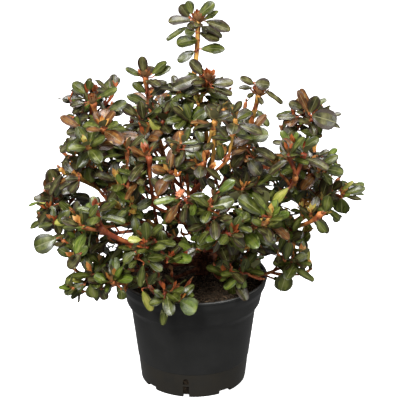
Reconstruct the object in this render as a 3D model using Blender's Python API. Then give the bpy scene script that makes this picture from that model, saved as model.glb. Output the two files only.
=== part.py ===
"""An azalea shrub in its round nursery pot.

Metres, +Z up, +X to the right, -Y towards the front. The origin is the centre of the pot's flat
underside. A short trunk stands in the filled pot and forks at once into slender boughs. Every
bough ends where it enters a mass of foliage of its own: a stem that forks into shoots, each with
a whorl of blunt leaves round its tip.
"""

import math
import random

import bmesh
import bpy
from mathutils import Quaternion, Vector
from mathutils.geometry import intersect_ray_tri

# ------------------------------------------------------------------ driving sizes
GAP = 0.0003  # clear space between one solid and the next

# Pot: a ribbed collar over a tapering wall, with a low foot band cut by drain slots.
POT_HEIGHT = 0.150
POT_SEGMENTS = 44
WALL = 0.0018
FLOOR = 0.003
RIM_RADIUS = 0.0988
LIP_HEIGHT = 0.0038
LIP_STEP = 0.0010
RIM_BAND_RADIUS = 0.0970
RIM_BAND_HEIGHT = 0.1385
COLLAR_HEAD_RADIUS = 0.0926
COLLAR_HEAD_HEIGHT = 0.1300
COLLAR_FOOT_RADIUS = 0.0896
COLLAR_FOOT_HEIGHT = 0.1135
SHOULDER_RADIUS = 0.0838
SHOULDER_HEIGHT = 0.1050
BAND_RADIUS = 0.0748
BAND_HEIGHT = 0.0355
BAND_STEP = 0.0006
BASE_RADIUS = 0.0706
BASE_CHAMFER = 0.0020
DRAIN_SLOTS = 4
FIRST_SLOT_BEARING = -98.0
SLOT_WIDTH = 0.0080
SLOT_TOP = 0.0285
SLOT_BAR_LOW = 0.0168
SLOT_BAR_HIGH = 0.0192
SLOT_INNER_RADIUS = 0.0620
NOTCH_WIDTH = 0.0190
NOTCH_HEIGHT = 0.0055

# Soil: fills the pot to just under the rim, with a low level crown under the trunk.
SOIL_EDGE_HEIGHT = 0.1390
SOIL_CROWN_HEIGHT = 0.1430
SOIL_CROWN_RADIUS = 0.0400
SOIL_SEGMENTS = 32

# The shrub stands a little to one side of the pot's axis.
SHRUB_X = 0.0026

# Trunk: a short leaning foot with a root flare.
TRUNK_FOOT = (SHRUB_X + 0.010, 0.016)
TRUNK_HEAD = (SHRUB_X + 0.014, 0.010)
TRUNK_LENGTH = 0.054
TRUNK_FOOT_RADIUS = 0.0085
TRUNK_HEAD_RADIUS = 0.0052
FLARE = 0.0050
FLARE_LENGTH = 0.005
FLARE_ROOTS = 5
TRUNK_SIDES = 15
TRUNK_RINGS = 8

# Limbs
FIRST_BOUGH_RADIUS = 0.0034
SIDE_BOUGH_RADIUS = 0.0027
BOUGH_TIP_RADIUS = 0.0019
BOUGH_SPANS = 5
LEAST_FORK_ANGLE = math.radians(48)
SEATING_STEP = 0.00005
LOW_HEIGHT, HIGH_HEIGHT = 0.16, 0.42
LOW_LIFT, HIGH_LIFT = math.radians(30), math.radians(80)

# Foliage
STEM_BELOW = 0.006
STEM_SPANS = 3
SHOOT_SPANS = 2
TWIG_FOOT_RADIUS = 0.0020
TWIG_TIP_RADIUS = 0.0015
LEAF_LENGTH = 0.038
LEAF_WIDTH = 0.48
LEAF_WIDEST = 0.60
LEAF_BLUNTNESS = 0.36
LEAF_THICKNESS = 0.036
LEAF_ROLL = math.radians(38)
LEAF_SUNK = 0.0003
WHORL_LEAVES = 5
WHORL_PITCH = 0.0022
FIRST_STEM_LEAF = 0.018
STEM_LEAF_PITCH = 0.014
GOLDEN_ANGLE = math.radians(137.508)
LEAF_SIZES_TRIED = (1.0, 0.72)
LIMB_CLEARANCE = 0.0012
POT_CLEARANCE = 0.002
WELD = 5e-7
SEEDS_TRIED = 6

# Each bough, with the mass of foliage that it carries.
#   name, limb it leaves, how far up that limb (0 to 1),
#   bearing of the mass's heart round the shrub's axis in degrees (0 = +X, 90 = +Y),
#   its reach from that axis, its height, its spread from heart to shoot tips, its shoots
BOUGHS = (
    ("upper_centre", "trunk", 1.00, 300, 0.012, 0.388, 0.038, 5),
    ("crown_spire", "upper_centre", 0.72, 20, 0.006, 0.475, 0.034, 2),
    ("upper_right", "upper_centre", 0.30, 322, 0.078, 0.345, 0.034, 5),
    ("right_spire", "upper_right", 0.45, 3, 0.079, 0.384, 0.022, 2),
    ("upper_left", "trunk", 0.80, 188, 0.062, 0.345, 0.032, 5),
    ("second_spire", "upper_left", 0.50, 155, 0.071, 0.398, 0.020, 2),
    ("left_crown", "upper_left", 0.28, 178, 0.132, 0.368, 0.028, 5),
    ("left_middle", "trunk", 0.60, 186, 0.144, 0.302, 0.029, 5),
    ("far_left", "left_middle", 0.45, 174, 0.174, 0.234, 0.024, 4),
    ("left_low", "trunk", 0.40, 202, 0.160, 0.212, 0.026, 4),
    ("left_inner", "trunk", 0.70, 220, 0.112, 0.292, 0.034, 4),
    ("left_foot", "trunk", 0.24, 218, 0.145, 0.186, 0.024, 3),
    ("front_left", "left_foot", 0.40, 252, 0.112, 0.170, 0.020, 3),
    ("front_centre", "trunk", 0.50, 248, 0.122, 0.236, 0.030, 4),
    ("front_high", "trunk", 0.78, 262, 0.090, 0.344, 0.034, 5),
    ("front_low", "trunk", 0.62, 277, 0.132, 0.282, 0.034, 4),
    ("front_right", "trunk", 0.52, 309, 0.128, 0.255, 0.034, 4),
    ("front_pot", "trunk", 0.32, 308, 0.088, 0.182, 0.020, 3),
    ("right_foot", "trunk", 0.26, 338, 0.134, 0.188, 0.022, 3),
    ("right_low", "trunk", 0.46, 349, 0.152, 0.250, 0.026, 4),
    ("far_right", "right_low", 0.55, 3, 0.178, 0.268, 0.022, 3),
    ("right_middle", "trunk", 0.68, 356, 0.140, 0.302, 0.032, 5),
    ("right_crown", "right_middle", 0.50, 4, 0.136, 0.364, 0.023, 4),
    ("back_left", "trunk", 0.74, 118, 0.120, 0.330, 0.032, 4),
    ("back_right", "trunk", 0.76, 58, 0.118, 0.332, 0.032, 4),
    ("back_low_left", "trunk", 0.48, 145, 0.150, 0.235, 0.032, 4),
    ("back_low_right", "trunk", 0.50, 35, 0.150, 0.235, 0.032, 4),
    ("back_low", "trunk", 0.56, 90, 0.145, 0.260, 0.032, 4),
)

# Finishes: colour, roughness
FINISHES = {
    "pot_plastic": ((0.022, 0.022, 0.024), 0.45),
    "potting_soil": ((0.030, 0.020, 0.014), 0.95),
    "old_bark": ((0.075, 0.030, 0.020), 0.80),
    "young_bark": ((0.300, 0.090, 0.035), 0.65),
    "azalea_leaf": ((0.035, 0.070, 0.025), 0.35),
}


# ------------------------------------------------------------------ small helpers
def clear_scene():
    for thing in list(bpy.data.objects):
        bpy.data.objects.remove(thing)


def finish(name):
    """The named Principled material, made once."""
    found = bpy.data.materials.get(name)
    if found:
        return found
    colour, roughness = FINISHES[name]
    made = bpy.data.materials.new(name)
    made.use_nodes = True
    shader = made.node_tree.nodes["Principled BSDF"]
    shader.inputs["Base Color"].default_value = (*colour, 1.0)
    shader.inputs["Roughness"].default_value = roughness
    shader.inputs["Metallic"].default_value = 0.0
    made.diffuse_color = (*colour, 1.0)
    return made


def add_object(name, data, material, collection=None):
    made = bpy.data.objects.new(name, data)
    data.materials.append(finish(material))
    (collection or bpy.context.scene.collection).objects.link(made)
    return made


def mesh_from(name, points, faces):
    mesh = bpy.data.meshes.new(name)
    mesh.from_pydata(points, [], faces)
    shape = bmesh.new()
    shape.from_mesh(mesh)
    bmesh.ops.recalc_face_normals(shape, faces=shape.faces)
    shape.to_mesh(mesh)
    shape.free()
    return mesh


def polar(bearing, reach, height):
    """A place from its bearing and reach round the shrub's axis."""
    turn = math.radians(bearing)
    return Vector((SHRUB_X + reach * math.cos(turn), reach * math.sin(turn), height))


def mix(low, high, share):
    return low + (high - low) * share


def across(direction):
    """Two unit vectors square to the direction and to each other."""
    helper = Vector((0, 0, 1)) if abs(direction.z) < 0.9 else Vector((1, 0, 0))
    side = direction.cross(helper).normalized()
    return side, side.cross(direction).normalized()


# ------------------------------------------------------------------ pot and soil
def turned(name, profile, segments, material):
    """A solid of revolution: the profile, radius and height, swept once round the Z axis."""
    mesh = bpy.data.meshes.new(name)
    edges = [(i, i + 1) for i in range(len(profile) - 1)]
    mesh.from_pydata([(radius, 0, height) for radius, height in profile], edges, [])
    made = add_object(name, mesh, material)
    screw = made.modifiers.new("turn", "SCREW")
    screw.axis = "Z"
    screw.steps = screw.render_steps = segments
    screw.use_merge_vertices = True
    screw.merge_threshold = 1e-5
    screw.use_smooth_shade = True
    return made


WALL_BENDS = (BAND_HEIGHT, SHOULDER_HEIGHT, COLLAR_FOOT_HEIGHT, COLLAR_HEAD_HEIGHT, RIM_BAND_HEIGHT)


def inner_wall(height):
    """Inside radius of the pot at a height."""
    stations = (
        (FLOOR, BASE_RADIUS + (BAND_RADIUS - BASE_RADIUS) * FLOOR / BAND_HEIGHT),
        (BAND_HEIGHT, BAND_RADIUS),
        (SHOULDER_HEIGHT, SHOULDER_RADIUS),
        (COLLAR_FOOT_HEIGHT, COLLAR_FOOT_RADIUS),
        (COLLAR_HEAD_HEIGHT, COLLAR_HEAD_RADIUS),
        (RIM_BAND_HEIGHT, RIM_BAND_RADIUS),
        (POT_HEIGHT, RIM_RADIUS - LIP_STEP),
    )
    for (low, inside), (high, outside) in zip(stations, stations[1:]):
        if height <= high:
            break
    return mix(inside, outside, (height - low) / (high - low)) - WALL


def pot_profile():
    """Up the inside, over the rounded lip, down the outside and back to the axis."""
    lip_foot = POT_HEIGHT - LIP_HEIGHT
    collar_top_radius = RIM_RADIUS - LIP_STEP
    inside = [(0, FLOOR)]
    for height in (FLOOR, *WALL_BENDS, lip_foot):
        inside.append((inner_wall(height), height))
    lip = [
        (inner_wall(POT_HEIGHT) + 0.1 * LIP_HEIGHT, POT_HEIGHT),
        (RIM_RADIUS - 0.2 * LIP_HEIGHT, POT_HEIGHT),
        (RIM_RADIUS, POT_HEIGHT - 0.3 * LIP_HEIGHT),
        (RIM_RADIUS, lip_foot + 0.2 * LIP_HEIGHT),
        (collar_top_radius, lip_foot),
    ]
    outside = [
        (RIM_BAND_RADIUS, RIM_BAND_HEIGHT),
        (COLLAR_HEAD_RADIUS, COLLAR_HEAD_HEIGHT),
        (COLLAR_FOOT_RADIUS, COLLAR_FOOT_HEIGHT),
        (SHOULDER_RADIUS, SHOULDER_HEIGHT),
        (BAND_RADIUS, BAND_HEIGHT),
        (BAND_RADIUS - BAND_STEP, BAND_HEIGHT - BAND_STEP),
        (BASE_RADIUS, BASE_CHAMFER),
        (BASE_RADIUS - BASE_CHAMFER, 0),
        (0, 0),
    ]
    return inside + lip + outside


def slot_cutter(name, width, low, high, arched):
    """One upright opening through the foot band, its head rounded if it is arched."""
    half = width / 2
    outline = [(-half, low), (half, low), (half, high)]
    if arched:
        steps = 4
        outline.pop()
        turns = [math.pi * i / steps for i in range(steps + 1)]
        outline += [(half * math.cos(t), high - half + half * math.sin(t)) for t in turns]
    else:
        outline.append((-half, high))
    inner, outer = SLOT_INNER_RADIUS, BASE_RADIUS + 0.010
    count = len(outline)
    points = [(inner, x, z) for x, z in outline] + [(outer, x, z) for x, z in outline]
    faces = [tuple(range(count)), tuple(range(2 * count - 1, count - 1, -1))]
    faces += [(i, (i + 1) % count, count + (i + 1) % count, count + i) for i in range(count)]
    return mesh_from(name, points, faces)


def make_pot():
    pot = turned("pot", pot_profile(), POT_SEGMENTS, "pot_plastic")
    cutters = bpy.data.collections.new("drain_slots")
    bpy.context.scene.collection.children.link(cutters)
    between = 180 / DRAIN_SLOTS
    shapes = (
        (slot_cutter("slot_lower", SLOT_WIDTH, -0.001, SLOT_BAR_LOW, False), 0),
        (slot_cutter("slot_upper", SLOT_WIDTH, SLOT_BAR_HIGH, SLOT_TOP, True), 0),
        (slot_cutter("foot_notch", NOTCH_WIDTH, -0.001, NOTCH_HEIGHT, False), between),
    )
    for number in range(DRAIN_SLOTS):
        for shape, offset in shapes:
            cutter = bpy.data.objects.new(f"{shape.name}_{number}", shape)
            cutter.rotation_euler.z = math.radians(FIRST_SLOT_BEARING + offset + 2 * between * number)
            cutter.hide_render = True
            cutter.display_type = "WIRE"
            cutters.objects.link(cutter)
    cut = pot.modifiers.new("drain_slots", "BOOLEAN")
    cut.operation = "DIFFERENCE"
    cut.operand_type = "COLLECTION"
    cut.collection = cutters
    cut.solver = "EXACT"


def make_soil():
    """The root ball: the pot's inside, less the gap, with a level crown."""
    floor = FLOOR + GAP
    heights = (floor, *WALL_BENDS, SOIL_EDGE_HEIGHT)
    shoulder = mix(SOIL_CROWN_RADIUS, RIM_RADIUS, 0.6), mix(SOIL_EDGE_HEIGHT, SOIL_CROWN_HEIGHT, 0.3)
    profile = [(0, SOIL_CROWN_HEIGHT), (SOIL_CROWN_RADIUS, SOIL_CROWN_HEIGHT), shoulder]
    profile += [(inner_wall(height) - 2 * GAP, height) for height in reversed(heights)]
    profile.append((0, floor))
    turned("soil", profile, SOIL_SEGMENTS, "potting_soil")


# ------------------------------------------------------------------ limbs
class Limb:
    """A tapering centreline: points, and a radius at each."""

    def __init__(self, points, radii):
        self.points, self.radii = points, radii

    def at(self, share):
        """Point, direction and radius at a share of the limb's points."""
        place = min(share, 0.9999) * (len(self.points) - 1)
        first = int(place)
        low, high = self.points[first], self.points[first + 1]
        radius = mix(self.radii[first], self.radii[first + 1], place - first)
        return low.lerp(high, place - first), (high - low).normalized(), radius

    def clearance(self, spot):
        """Distance from a spot to the limb's surface."""
        least = 1.0
        for i, (low, high) in enumerate(zip(self.points, self.points[1:])):
            span = high - low
            share = max(0.0, min(1.0, (spot - low).dot(span) / span.length_squared))
            radius = mix(self.radii[i], self.radii[i + 1], share)
            least = min(least, (spot - low - span * share).length - radius)
        return least


def curve_points(start, leaving, finish_point, arriving, spans):
    """A cubic curve that leaves and arrives in the given directions."""
    length = (finish_point - start).length
    first = start + leaving * (0.32 * length)
    second = finish_point - arriving * (0.34 * length)
    points = []
    for i in range(spans + 1):
        t = i / spans
        s = 1 - t
        points.append(s**3 * start + 3 * s * s * t * first + 3 * s * t * t * second + t**3 * finish_point)
    return points


def trunk_limb():
    foot = Vector((*TRUNK_FOOT, SOIL_CROWN_HEIGHT + GAP))
    head = Vector((*TRUNK_HEAD, SOIL_CROWN_HEIGHT + TRUNK_LENGTH))
    points, radii = [], []
    for ring in range(TRUNK_RINGS):
        share = (ring / (TRUNK_RINGS - 1)) ** 1.5
        points.append(foot.lerp(head, share))
        radii.append(mix(TRUNK_FOOT_RADIUS, TRUNK_HEAD_RADIUS, share) + 0.6 * flare_at(points[-1].z))
    return Limb(points, radii)


def flare_at(height):
    """How far the widest root stands out of the trunk at a height."""
    return FLARE * math.exp(-(height - SOIL_CROWN_HEIGHT) / FLARE_LENGTH)


def make_trunk(limb):
    """Level rings from the flat cut up to the fork, swollen low down where the roots leave."""
    points, faces = [], []
    for centre, radius in zip(limb.points, limb.radii):
        swell = 0.4 * flare_at(centre.z)
        for side in range(TRUNK_SIDES):
            turn = 2 * math.pi * side / TRUNK_SIDES
            around = Vector((math.cos(turn), math.sin(turn), 0))
            points.append(centre + around * (radius + swell * math.cos(FLARE_ROOTS * turn)))
    for ring in range(TRUNK_RINGS - 1):
        for side in range(TRUNK_SIDES):
            a = ring * TRUNK_SIDES + side
            b = ring * TRUNK_SIDES + (side + 1) % TRUNK_SIDES
            faces.append((a, b, b + TRUNK_SIDES, a + TRUNK_SIDES))
    faces.append(tuple(range(TRUNK_SIDES)))
    faces.append(tuple(range(len(points) - TRUNK_SIDES, len(points))))
    add_object("trunk", mesh_from("trunk", points, faces), "old_bark")


def lift_at(height):
    """How steeply growth points up at a height: nearly level low down, upright in the crown."""
    share = max(0.0, min(1.0, (height - LOW_HEIGHT) / (HIGH_HEIGHT - LOW_HEIGHT)))
    return mix(LOW_LIFT, HIGH_LIFT, share)


def growth_direction(heart):
    """Outward from the shrub's axis, and up by the lift of that height."""
    outward = Vector((heart.x - SHRUB_X, heart.y, 0)).normalized()
    lift = lift_at(heart.z)
    return (outward * math.cos(lift) + Vector((0, 0, 1)) * math.sin(lift)).normalized()


def bough_limb(parent, share, tip, arriving, foot_radius):
    """A bough seated just clear of its parent's flank, or of its end at share 1."""
    base, along, parent_radius = parent.at(share)
    if share >= 1.0:
        start, leaving = parent.points[-1] + along * GAP, along
        points = curve_points(start, leaving, tip, arriving, BOUGH_SPANS)
    else:
        goal = (tip - base).normalized()
        side = (goal - along * goal.dot(along)).normalized()
        angle = max(LEAST_FORK_ANGLE, goal.angle(along))
        leaving = (along * math.cos(angle) + side * math.sin(angle)).normalized()
        out = parent_radius
        while True:
            points = curve_points(base + leaving * out, leaving, tip, arriving, BOUGH_SPANS)
            if all(parent.clearance(spot) > GAP for spot in foot_rim(points, foot_radius)):
                break
            out += SEATING_STEP
    radii = [mix(foot_radius, BOUGH_TIP_RADIUS, i / BOUGH_SPANS) for i in range(BOUGH_SPANS + 1)]
    return Limb(points, radii)


def foot_rim(points, radius):
    """The edge of a bough's flat foot."""
    side, other = across((points[1] - points[0]).normalized())
    turns = [2 * math.pi * i / 12 for i in range(12)]
    return [points[0] + (side * math.cos(turn) + other * math.sin(turn)) * radius for turn in turns]


def make_bough(name, limb):
    """A round tapering limb, as a bevelled curve with closed ends."""
    curve = bpy.data.curves.new(name, "CURVE")
    curve.dimensions = "3D"
    curve.bevel_depth = 1.0
    curve.bevel_resolution = 1
    curve.use_fill_caps = True
    spline = curve.splines.new("POLY")
    spline.points.add(len(limb.points) - 1)
    for control, place, radius in zip(spline.points, limb.points, limb.radii):
        control.co = (*place, 1.0)
        control.radius = radius
    add_object(name, curve, "young_bark" if limb.radii[0] < FIRST_BOUGH_RADIUS else "old_bark")


# ------------------------------------------------------------------ foliage
class Mass:
    """One mass of foliage: where it sits, how it grows, and its own seeded numbers."""

    def __init__(self, number, name, heart, spread, shoots):
        self.number, self.name, self.heart = number, name, heart
        self.spread, self.shoots = spread, shoots
        self.growth = growth_direction(heart)
        self.entry = heart - self.growth * (spread + STEM_BELOW)
        self.sow(0)

    def sow(self, trial):
        """Start the mass's seeded numbers again."""
        self.chance = random.Random(100 * trial + self.number)


def shoot_lines(mass):
    """The mass's twigs: its stem, which is the leading shoot, and the side shoots that leave it."""
    start = mass.entry + mass.growth * GAP
    tip = mass.heart + mass.growth * (0.8 * mass.spread)
    arriving = (mass.growth + Vector((0, 0, 0.4))).normalized()
    stem = curve_points(start, mass.growth, tip, arriving, STEM_SPANS)
    lines = [stem]
    side, other = across(mass.growth)
    first_turn = mass.chance.uniform(0, 2 * math.pi)
    for number in range(mass.shoots - 1):
        turn = first_turn + 2 * math.pi * number / max(1, mass.shoots - 1)
        out = side * math.cos(turn) + other * math.sin(turn)
        polar_angle = math.radians(mass.chance.uniform(62, 92))
        reach = mass.spread * mass.chance.uniform(0.9, 1.1)
        aim = mass.growth * math.cos(polar_angle) + out * math.sin(polar_angle)
        foot = stem[1].lerp(stem[2], mass.chance.uniform(0.0, 0.6))
        leaving = (out + mass.growth * 0.8).normalized()
        arriving = (aim + Vector((0, 0, 0.9))).normalized()
        lines.append(curve_points(foot, leaving, mass.heart + aim * reach, arriving, SHOOT_SPANS))
    return lines


def leaf_places(mass, line):
    """Root, direction, face normal and length of each leaf: the whorl, then those down the shoot."""
    tip, along = line[-1], (line[-1] - line[-2]).normalized()
    side, other = across(along)
    turn = mass.chance.uniform(0, 2 * math.pi)
    for number in range(WHORL_LEAVES):
        turn += GOLDEN_ANGLE
        splay = math.radians(mix(45, 92, number / (WHORL_LEAVES - 1)) + mass.chance.uniform(-8, 8))
        out = side * math.cos(turn) + other * math.sin(turn)
        root = tip - along * (WHORL_PITCH * (number + 0.5))
        direction = (along * math.cos(splay) + out * math.sin(splay)).normalized()
        normal = along.copy()
        normal.rotate(Quaternion(direction, mass.chance.uniform(-LEAF_ROLL, LEAF_ROLL)))
        yield root, direction, normal, LEAF_LENGTH * mass.chance.uniform(0.82, 1.08)
    length = sum((high - low).length for low, high in zip(line, line[1:]))
    shoot = Limb(line, [TWIG_TIP_RADIUS] * len(line))
    down = FIRST_STEM_LEAF
    while down < 0.8 * length:
        root, along, _ = shoot.at(1 - down / length)
        side, other = across(along)
        turn += GOLDEN_ANGLE
        splay = math.radians(mass.chance.uniform(66, 96))
        out = side * math.cos(turn) + other * math.sin(turn)
        direction = (along * math.cos(splay) + out * math.sin(splay)).normalized()
        normal = along.copy()
        normal.rotate(Quaternion(direction, mass.chance.uniform(-LEAF_ROLL, LEAF_ROLL)))
        yield root, direction, normal, LEAF_LENGTH * mass.chance.uniform(0.78, 1.0)
        down += STEM_LEAF_PITCH


def leaf_points(root, direction, normal, length):
    """A leaf, blunt at its tip, as five points: root, left edge, two at the tip, right edge."""
    flat = (normal - direction * normal.dot(direction)).normalized()
    half = direction.cross(flat) * (0.5 * LEAF_WIDTH * length)
    root = root - direction * LEAF_SUNK
    widest = root + direction * (LEAF_WIDEST * length) + flat * (LEAF_THICKNESS * length)
    tip = root + direction * length
    return [root, widest - half, tip - half * LEAF_BLUNTNESS, tip + half * LEAF_BLUNTNESS, widest + half]


LEAF_FACES = ((0, 1, 4), (1, 2, 4), (2, 3, 4), (0, 3, 2), (0, 2, 1), (0, 4, 3))


def leaf_spots(points):
    """Samples spread all over a leaf, for the tests against limbs and pot."""
    root, left, right = points[0], points[1], points[4]
    tip = (points[2] + points[3]) / 2
    spots = points[2:4]
    for share in (0.12, 0.28, 0.44, 0.6, 0.8, 1.0):
        for place in (0, 0.25, 0.5, 0.75, 1):
            spots.append(root.lerp(left.lerp(right, place), share))
    for share in (0.33, 0.66, 1.0):
        for place in (0, 0.5, 1):
            spots.append(left.lerp(right, place).lerp(tip, share))
    return spots


def within(mass, others, spots, margin):
    """True if every spot is nearer this mass's heart than any other's, with the margin to spare."""
    for other in others:
        between = other.heart - mass.heart
        limit = between.length / 2 - margin
        way = between.normalized()
        if any((spot - mass.heart).dot(way) > limit for spot in spots):
            return False
    return True


def clear_of_pot(spot):
    """Above the rim or outside the pot, and above the soil."""
    radius = math.hypot(spot.x, spot.y)
    if spot.z > POT_HEIGHT + POT_CLEARANCE:
        return True
    if radius > RIM_RADIUS + POT_CLEARANCE:
        return True
    inside = radius < inner_wall(SOIL_EDGE_HEIGHT) - POT_CLEARANCE
    return inside and spot.z > SOIL_CROWN_HEIGHT + POT_CLEARANCE


def clear_of_limbs(limbs, spots, clearance):
    return not any(limb.clearance(spot) < clearance for limb in limbs for spot in spots)


def pierces(low, high, triangle):
    """True if the line from low to high passes through the triangle."""
    way = high - low
    hit = intersect_ray_tri(*triangle, way, low, True)
    return hit is not None and (hit - low).length < way.length


def sheet(points):
    """A leaf as three triangles, from just outside its twig."""
    root, left, tip_left, tip_right, right = points
    root = root.lerp(tip_left.lerp(tip_right, 0.5), 0.1)
    return (root, left, right), (left, tip_left, right), (tip_left, tip_right, right)


def crosses(points, sheets, lines):
    """True if the leaf would pass through a leaf already there, or through another shoot."""
    mine = sheet(points)
    for low, high in lines:
        if any(pierces(low, high, triangle) for triangle in mine):
            return True
    for theirs in sheets:
        for one, two in ((mine, theirs), (theirs, mine)):
            for a, b, c in one:
                for low, high in ((a, b), (b, c), (c, a)):
                    if any(pierces(low, high, triangle) for triangle in two):
                        return True
    return False


def twig_mesh(name, line, foot_radius, tip_radius):
    """A three-sided tapering twig along the line, its corners carried along without a twist."""
    points, faces = [], []
    side = across((line[1] - line[0]).normalized())[0]
    for i, centre in enumerate(line):
        along = (line[min(i + 1, len(line) - 1)] - line[max(i - 1, 0)]).normalized()
        side = (side - along * side.dot(along)).normalized()
        other = along.cross(side)
        radius = mix(foot_radius, tip_radius, i / (len(line) - 1))
        for corner in range(3):
            turn = 2 * math.pi * corner / 3
            points.append(centre + (side * math.cos(turn) + other * math.sin(turn)) * radius)
    for i in range(len(line) - 1):
        for corner in range(3):
            a, b = 3 * i + corner, 3 * i + (corner + 1) % 3
            faces.append((a, b, b + 3, a + 3))
    faces.append((0, 1, 2))
    faces.append((len(points) - 3, len(points) - 2, len(points) - 1))
    return mesh_from(name, points, faces)


def gather(mass, others, limbs, kept):
    """The stem, and meshes of the side shoots and leaves that fit; kept is the share of stem leaves."""
    grown = shoot_lines(mass)
    lines = grown[:1]
    for line in grown[1:]:
        if not within(mass, others, line[1:], 2 * TWIG_FOOT_RADIUS) or not all(map(clear_of_pot, line)):
            continue
        if clear_of_limbs(limbs, line[1:], 2 * TWIG_FOOT_RADIUS):
            lines.append(line)
    pieces = [twig_mesh("shoot", line, 1.15 * TWIG_TIP_RADIUS, TWIG_TIP_RADIUS) for line in lines[1:]]
    sheets = []
    for line in lines:
        crossed = [span for other in lines if other is not line for span in zip(other, other[1:])]
        for place, (root, direction, normal, length) in enumerate(leaf_places(mass, line)):
            if place >= WHORL_LEAVES and mass.chance.random() > kept:
                continue
            for size in LEAF_SIZES_TRIED:
                points = leaf_points(root, direction, normal, length * size)
                if not within(mass, others, points, GAP) or crosses(points, sheets, crossed):
                    continue
                spots = leaf_spots(points)
                if all(map(clear_of_pot, spots)) and clear_of_limbs(limbs, spots, LIMB_CLEARANCE):
                    pieces.append(mesh_from("leaf", points, LEAF_FACES))
                    sheets.append(sheet(points))
                    break
    return lines[0], pieces


def fuse(node, stem, pieces):
    """One solid from the stem and every piece: a single union over a collection, then applied."""
    trunk_piece = add_object(node, twig_mesh(node, stem, TWIG_FOOT_RADIUS, TWIG_TIP_RADIUS), "azalea_leaf")
    parts = bpy.data.collections.new(f"{node}_parts")
    bpy.context.scene.collection.children.link(parts)
    for piece in pieces:
        add_object(f"{node}_piece", piece, "azalea_leaf", parts)
    join = trunk_piece.modifiers.new("fuse", "BOOLEAN")
    join.operation = "UNION"
    join.operand_type = "COLLECTION"
    join.collection = parts
    join.solver = "MANIFOLD"
    graph = bpy.context.evaluated_depsgraph_get()
    fused = bpy.data.meshes.new_from_object(trunk_piece.evaluated_get(graph))
    for piece in list(parts.objects):
        bpy.data.objects.remove(piece)
    bpy.data.collections.remove(parts)
    bpy.data.objects.remove(trunk_piece)
    return fused


def shells(shape):
    """The vertices of each separate skin, the largest first."""
    left, found = set(shape.verts), []
    while left:
        waiting, reached = [left.pop()], set()
        while waiting:
            vert = waiting.pop()
            if vert not in reached:
                reached.add(vert)
                waiting += [edge.other_vert(vert) for edge in vert.link_edges]
        left -= reached
        found.append(reached)
    return sorted(found, key=len, reverse=True)


def tidy(mesh):
    """Weld slivers, fill sealed hollows, drop loose scrap; report if the skin is closed and sound."""
    shape = bmesh.new()
    shape.from_mesh(mesh)
    bmesh.ops.remove_doubles(shape, verts=shape.verts, dist=WELD)
    bmesh.ops.triangulate(shape, faces=shape.faces)
    for skin in shells(shape)[1:]:
        bmesh.ops.delete(shape, geom=list(skin), context="VERTS")
    sound = all(edge.is_manifold for edge in shape.edges) and all(v.is_manifold for v in shape.verts)
    shape.to_mesh(mesh)
    shape.free()
    return sound


def make_mass(mass, others, limbs):
    """The twigs and leaves that fit in the mass's own space, fused into one solid."""
    node = f"leaves_{mass.name}"
    for trial in range(SEEDS_TRIED):
        mass.sow(trial)
        stem, pieces = gather(mass, others, limbs, 1.0 if trial < SEEDS_TRIED / 2 else 0.5)
        fused = fuse(node, stem, pieces)
        if tidy(fused):
            break
    fused.name = node
    made = bpy.data.objects.new(node, fused)
    bpy.context.scene.collection.objects.link(made)
    return trial, len(pieces), len(fused.polygons)


# ------------------------------------------------------------------ the whole shrub
def plan():
    """Every limb by name, and every mass, before anything is drawn."""
    limbs, masses = {"trunk": trunk_limb()}, []
    for number, (name, parent, share, bearing, reach, height, spread, shoots) in enumerate(BOUGHS):
        mass = Mass(number, name, polar(bearing, reach, height), spread, shoots)
        foot_radius = FIRST_BOUGH_RADIUS if parent == "trunk" else SIDE_BOUGH_RADIUS
        limbs[name] = bough_limb(limbs[parent], share, mass.entry, mass.growth, foot_radius)
        masses.append(mass)
    return limbs, masses


def main():
    clear_scene()
    make_pot()
    make_soil()
    limbs, masses = plan()
    make_trunk(limbs["trunk"])
    for name, limb in limbs.items():
        if name != "trunk":
            make_bough(f"bough_{name}", limb)
    for mass in masses:
        others = [other for other in masses if other is not mass]
        reach = mass.spread + 1.6 * LEAF_LENGTH
        near = [limb for limb in limbs.values() if limb.clearance(mass.heart) < reach]
        trial, pieces, faces = make_mass(mass, others, near)
        print(f"{mass.name}: sowing {trial}, {pieces} pieces, {faces} faces")


main()
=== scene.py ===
# %% [markdown]
# # An azalea shrub in its nursery pot
# This lesson dresses the plain solids of a potted azalea as the living plant. It goes from the pot up:
# the moulded pot, the peat it holds, the woody limbs, then the shoots, leaves and buds, and last the
# light and the camera. Each cell makes one thing and prints what it made.
#
# The first lines fetch the solids. They stay where they are, and everything made here rides on them.

# %% Fetch the frame
import math
import random
from itertools import product

import bmesh
import bpy
import numpy as np
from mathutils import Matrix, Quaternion, Vector, noise
from mathutils.geometry import intersect_ray_tri
from mathutils.kdtree import KDTree


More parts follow.
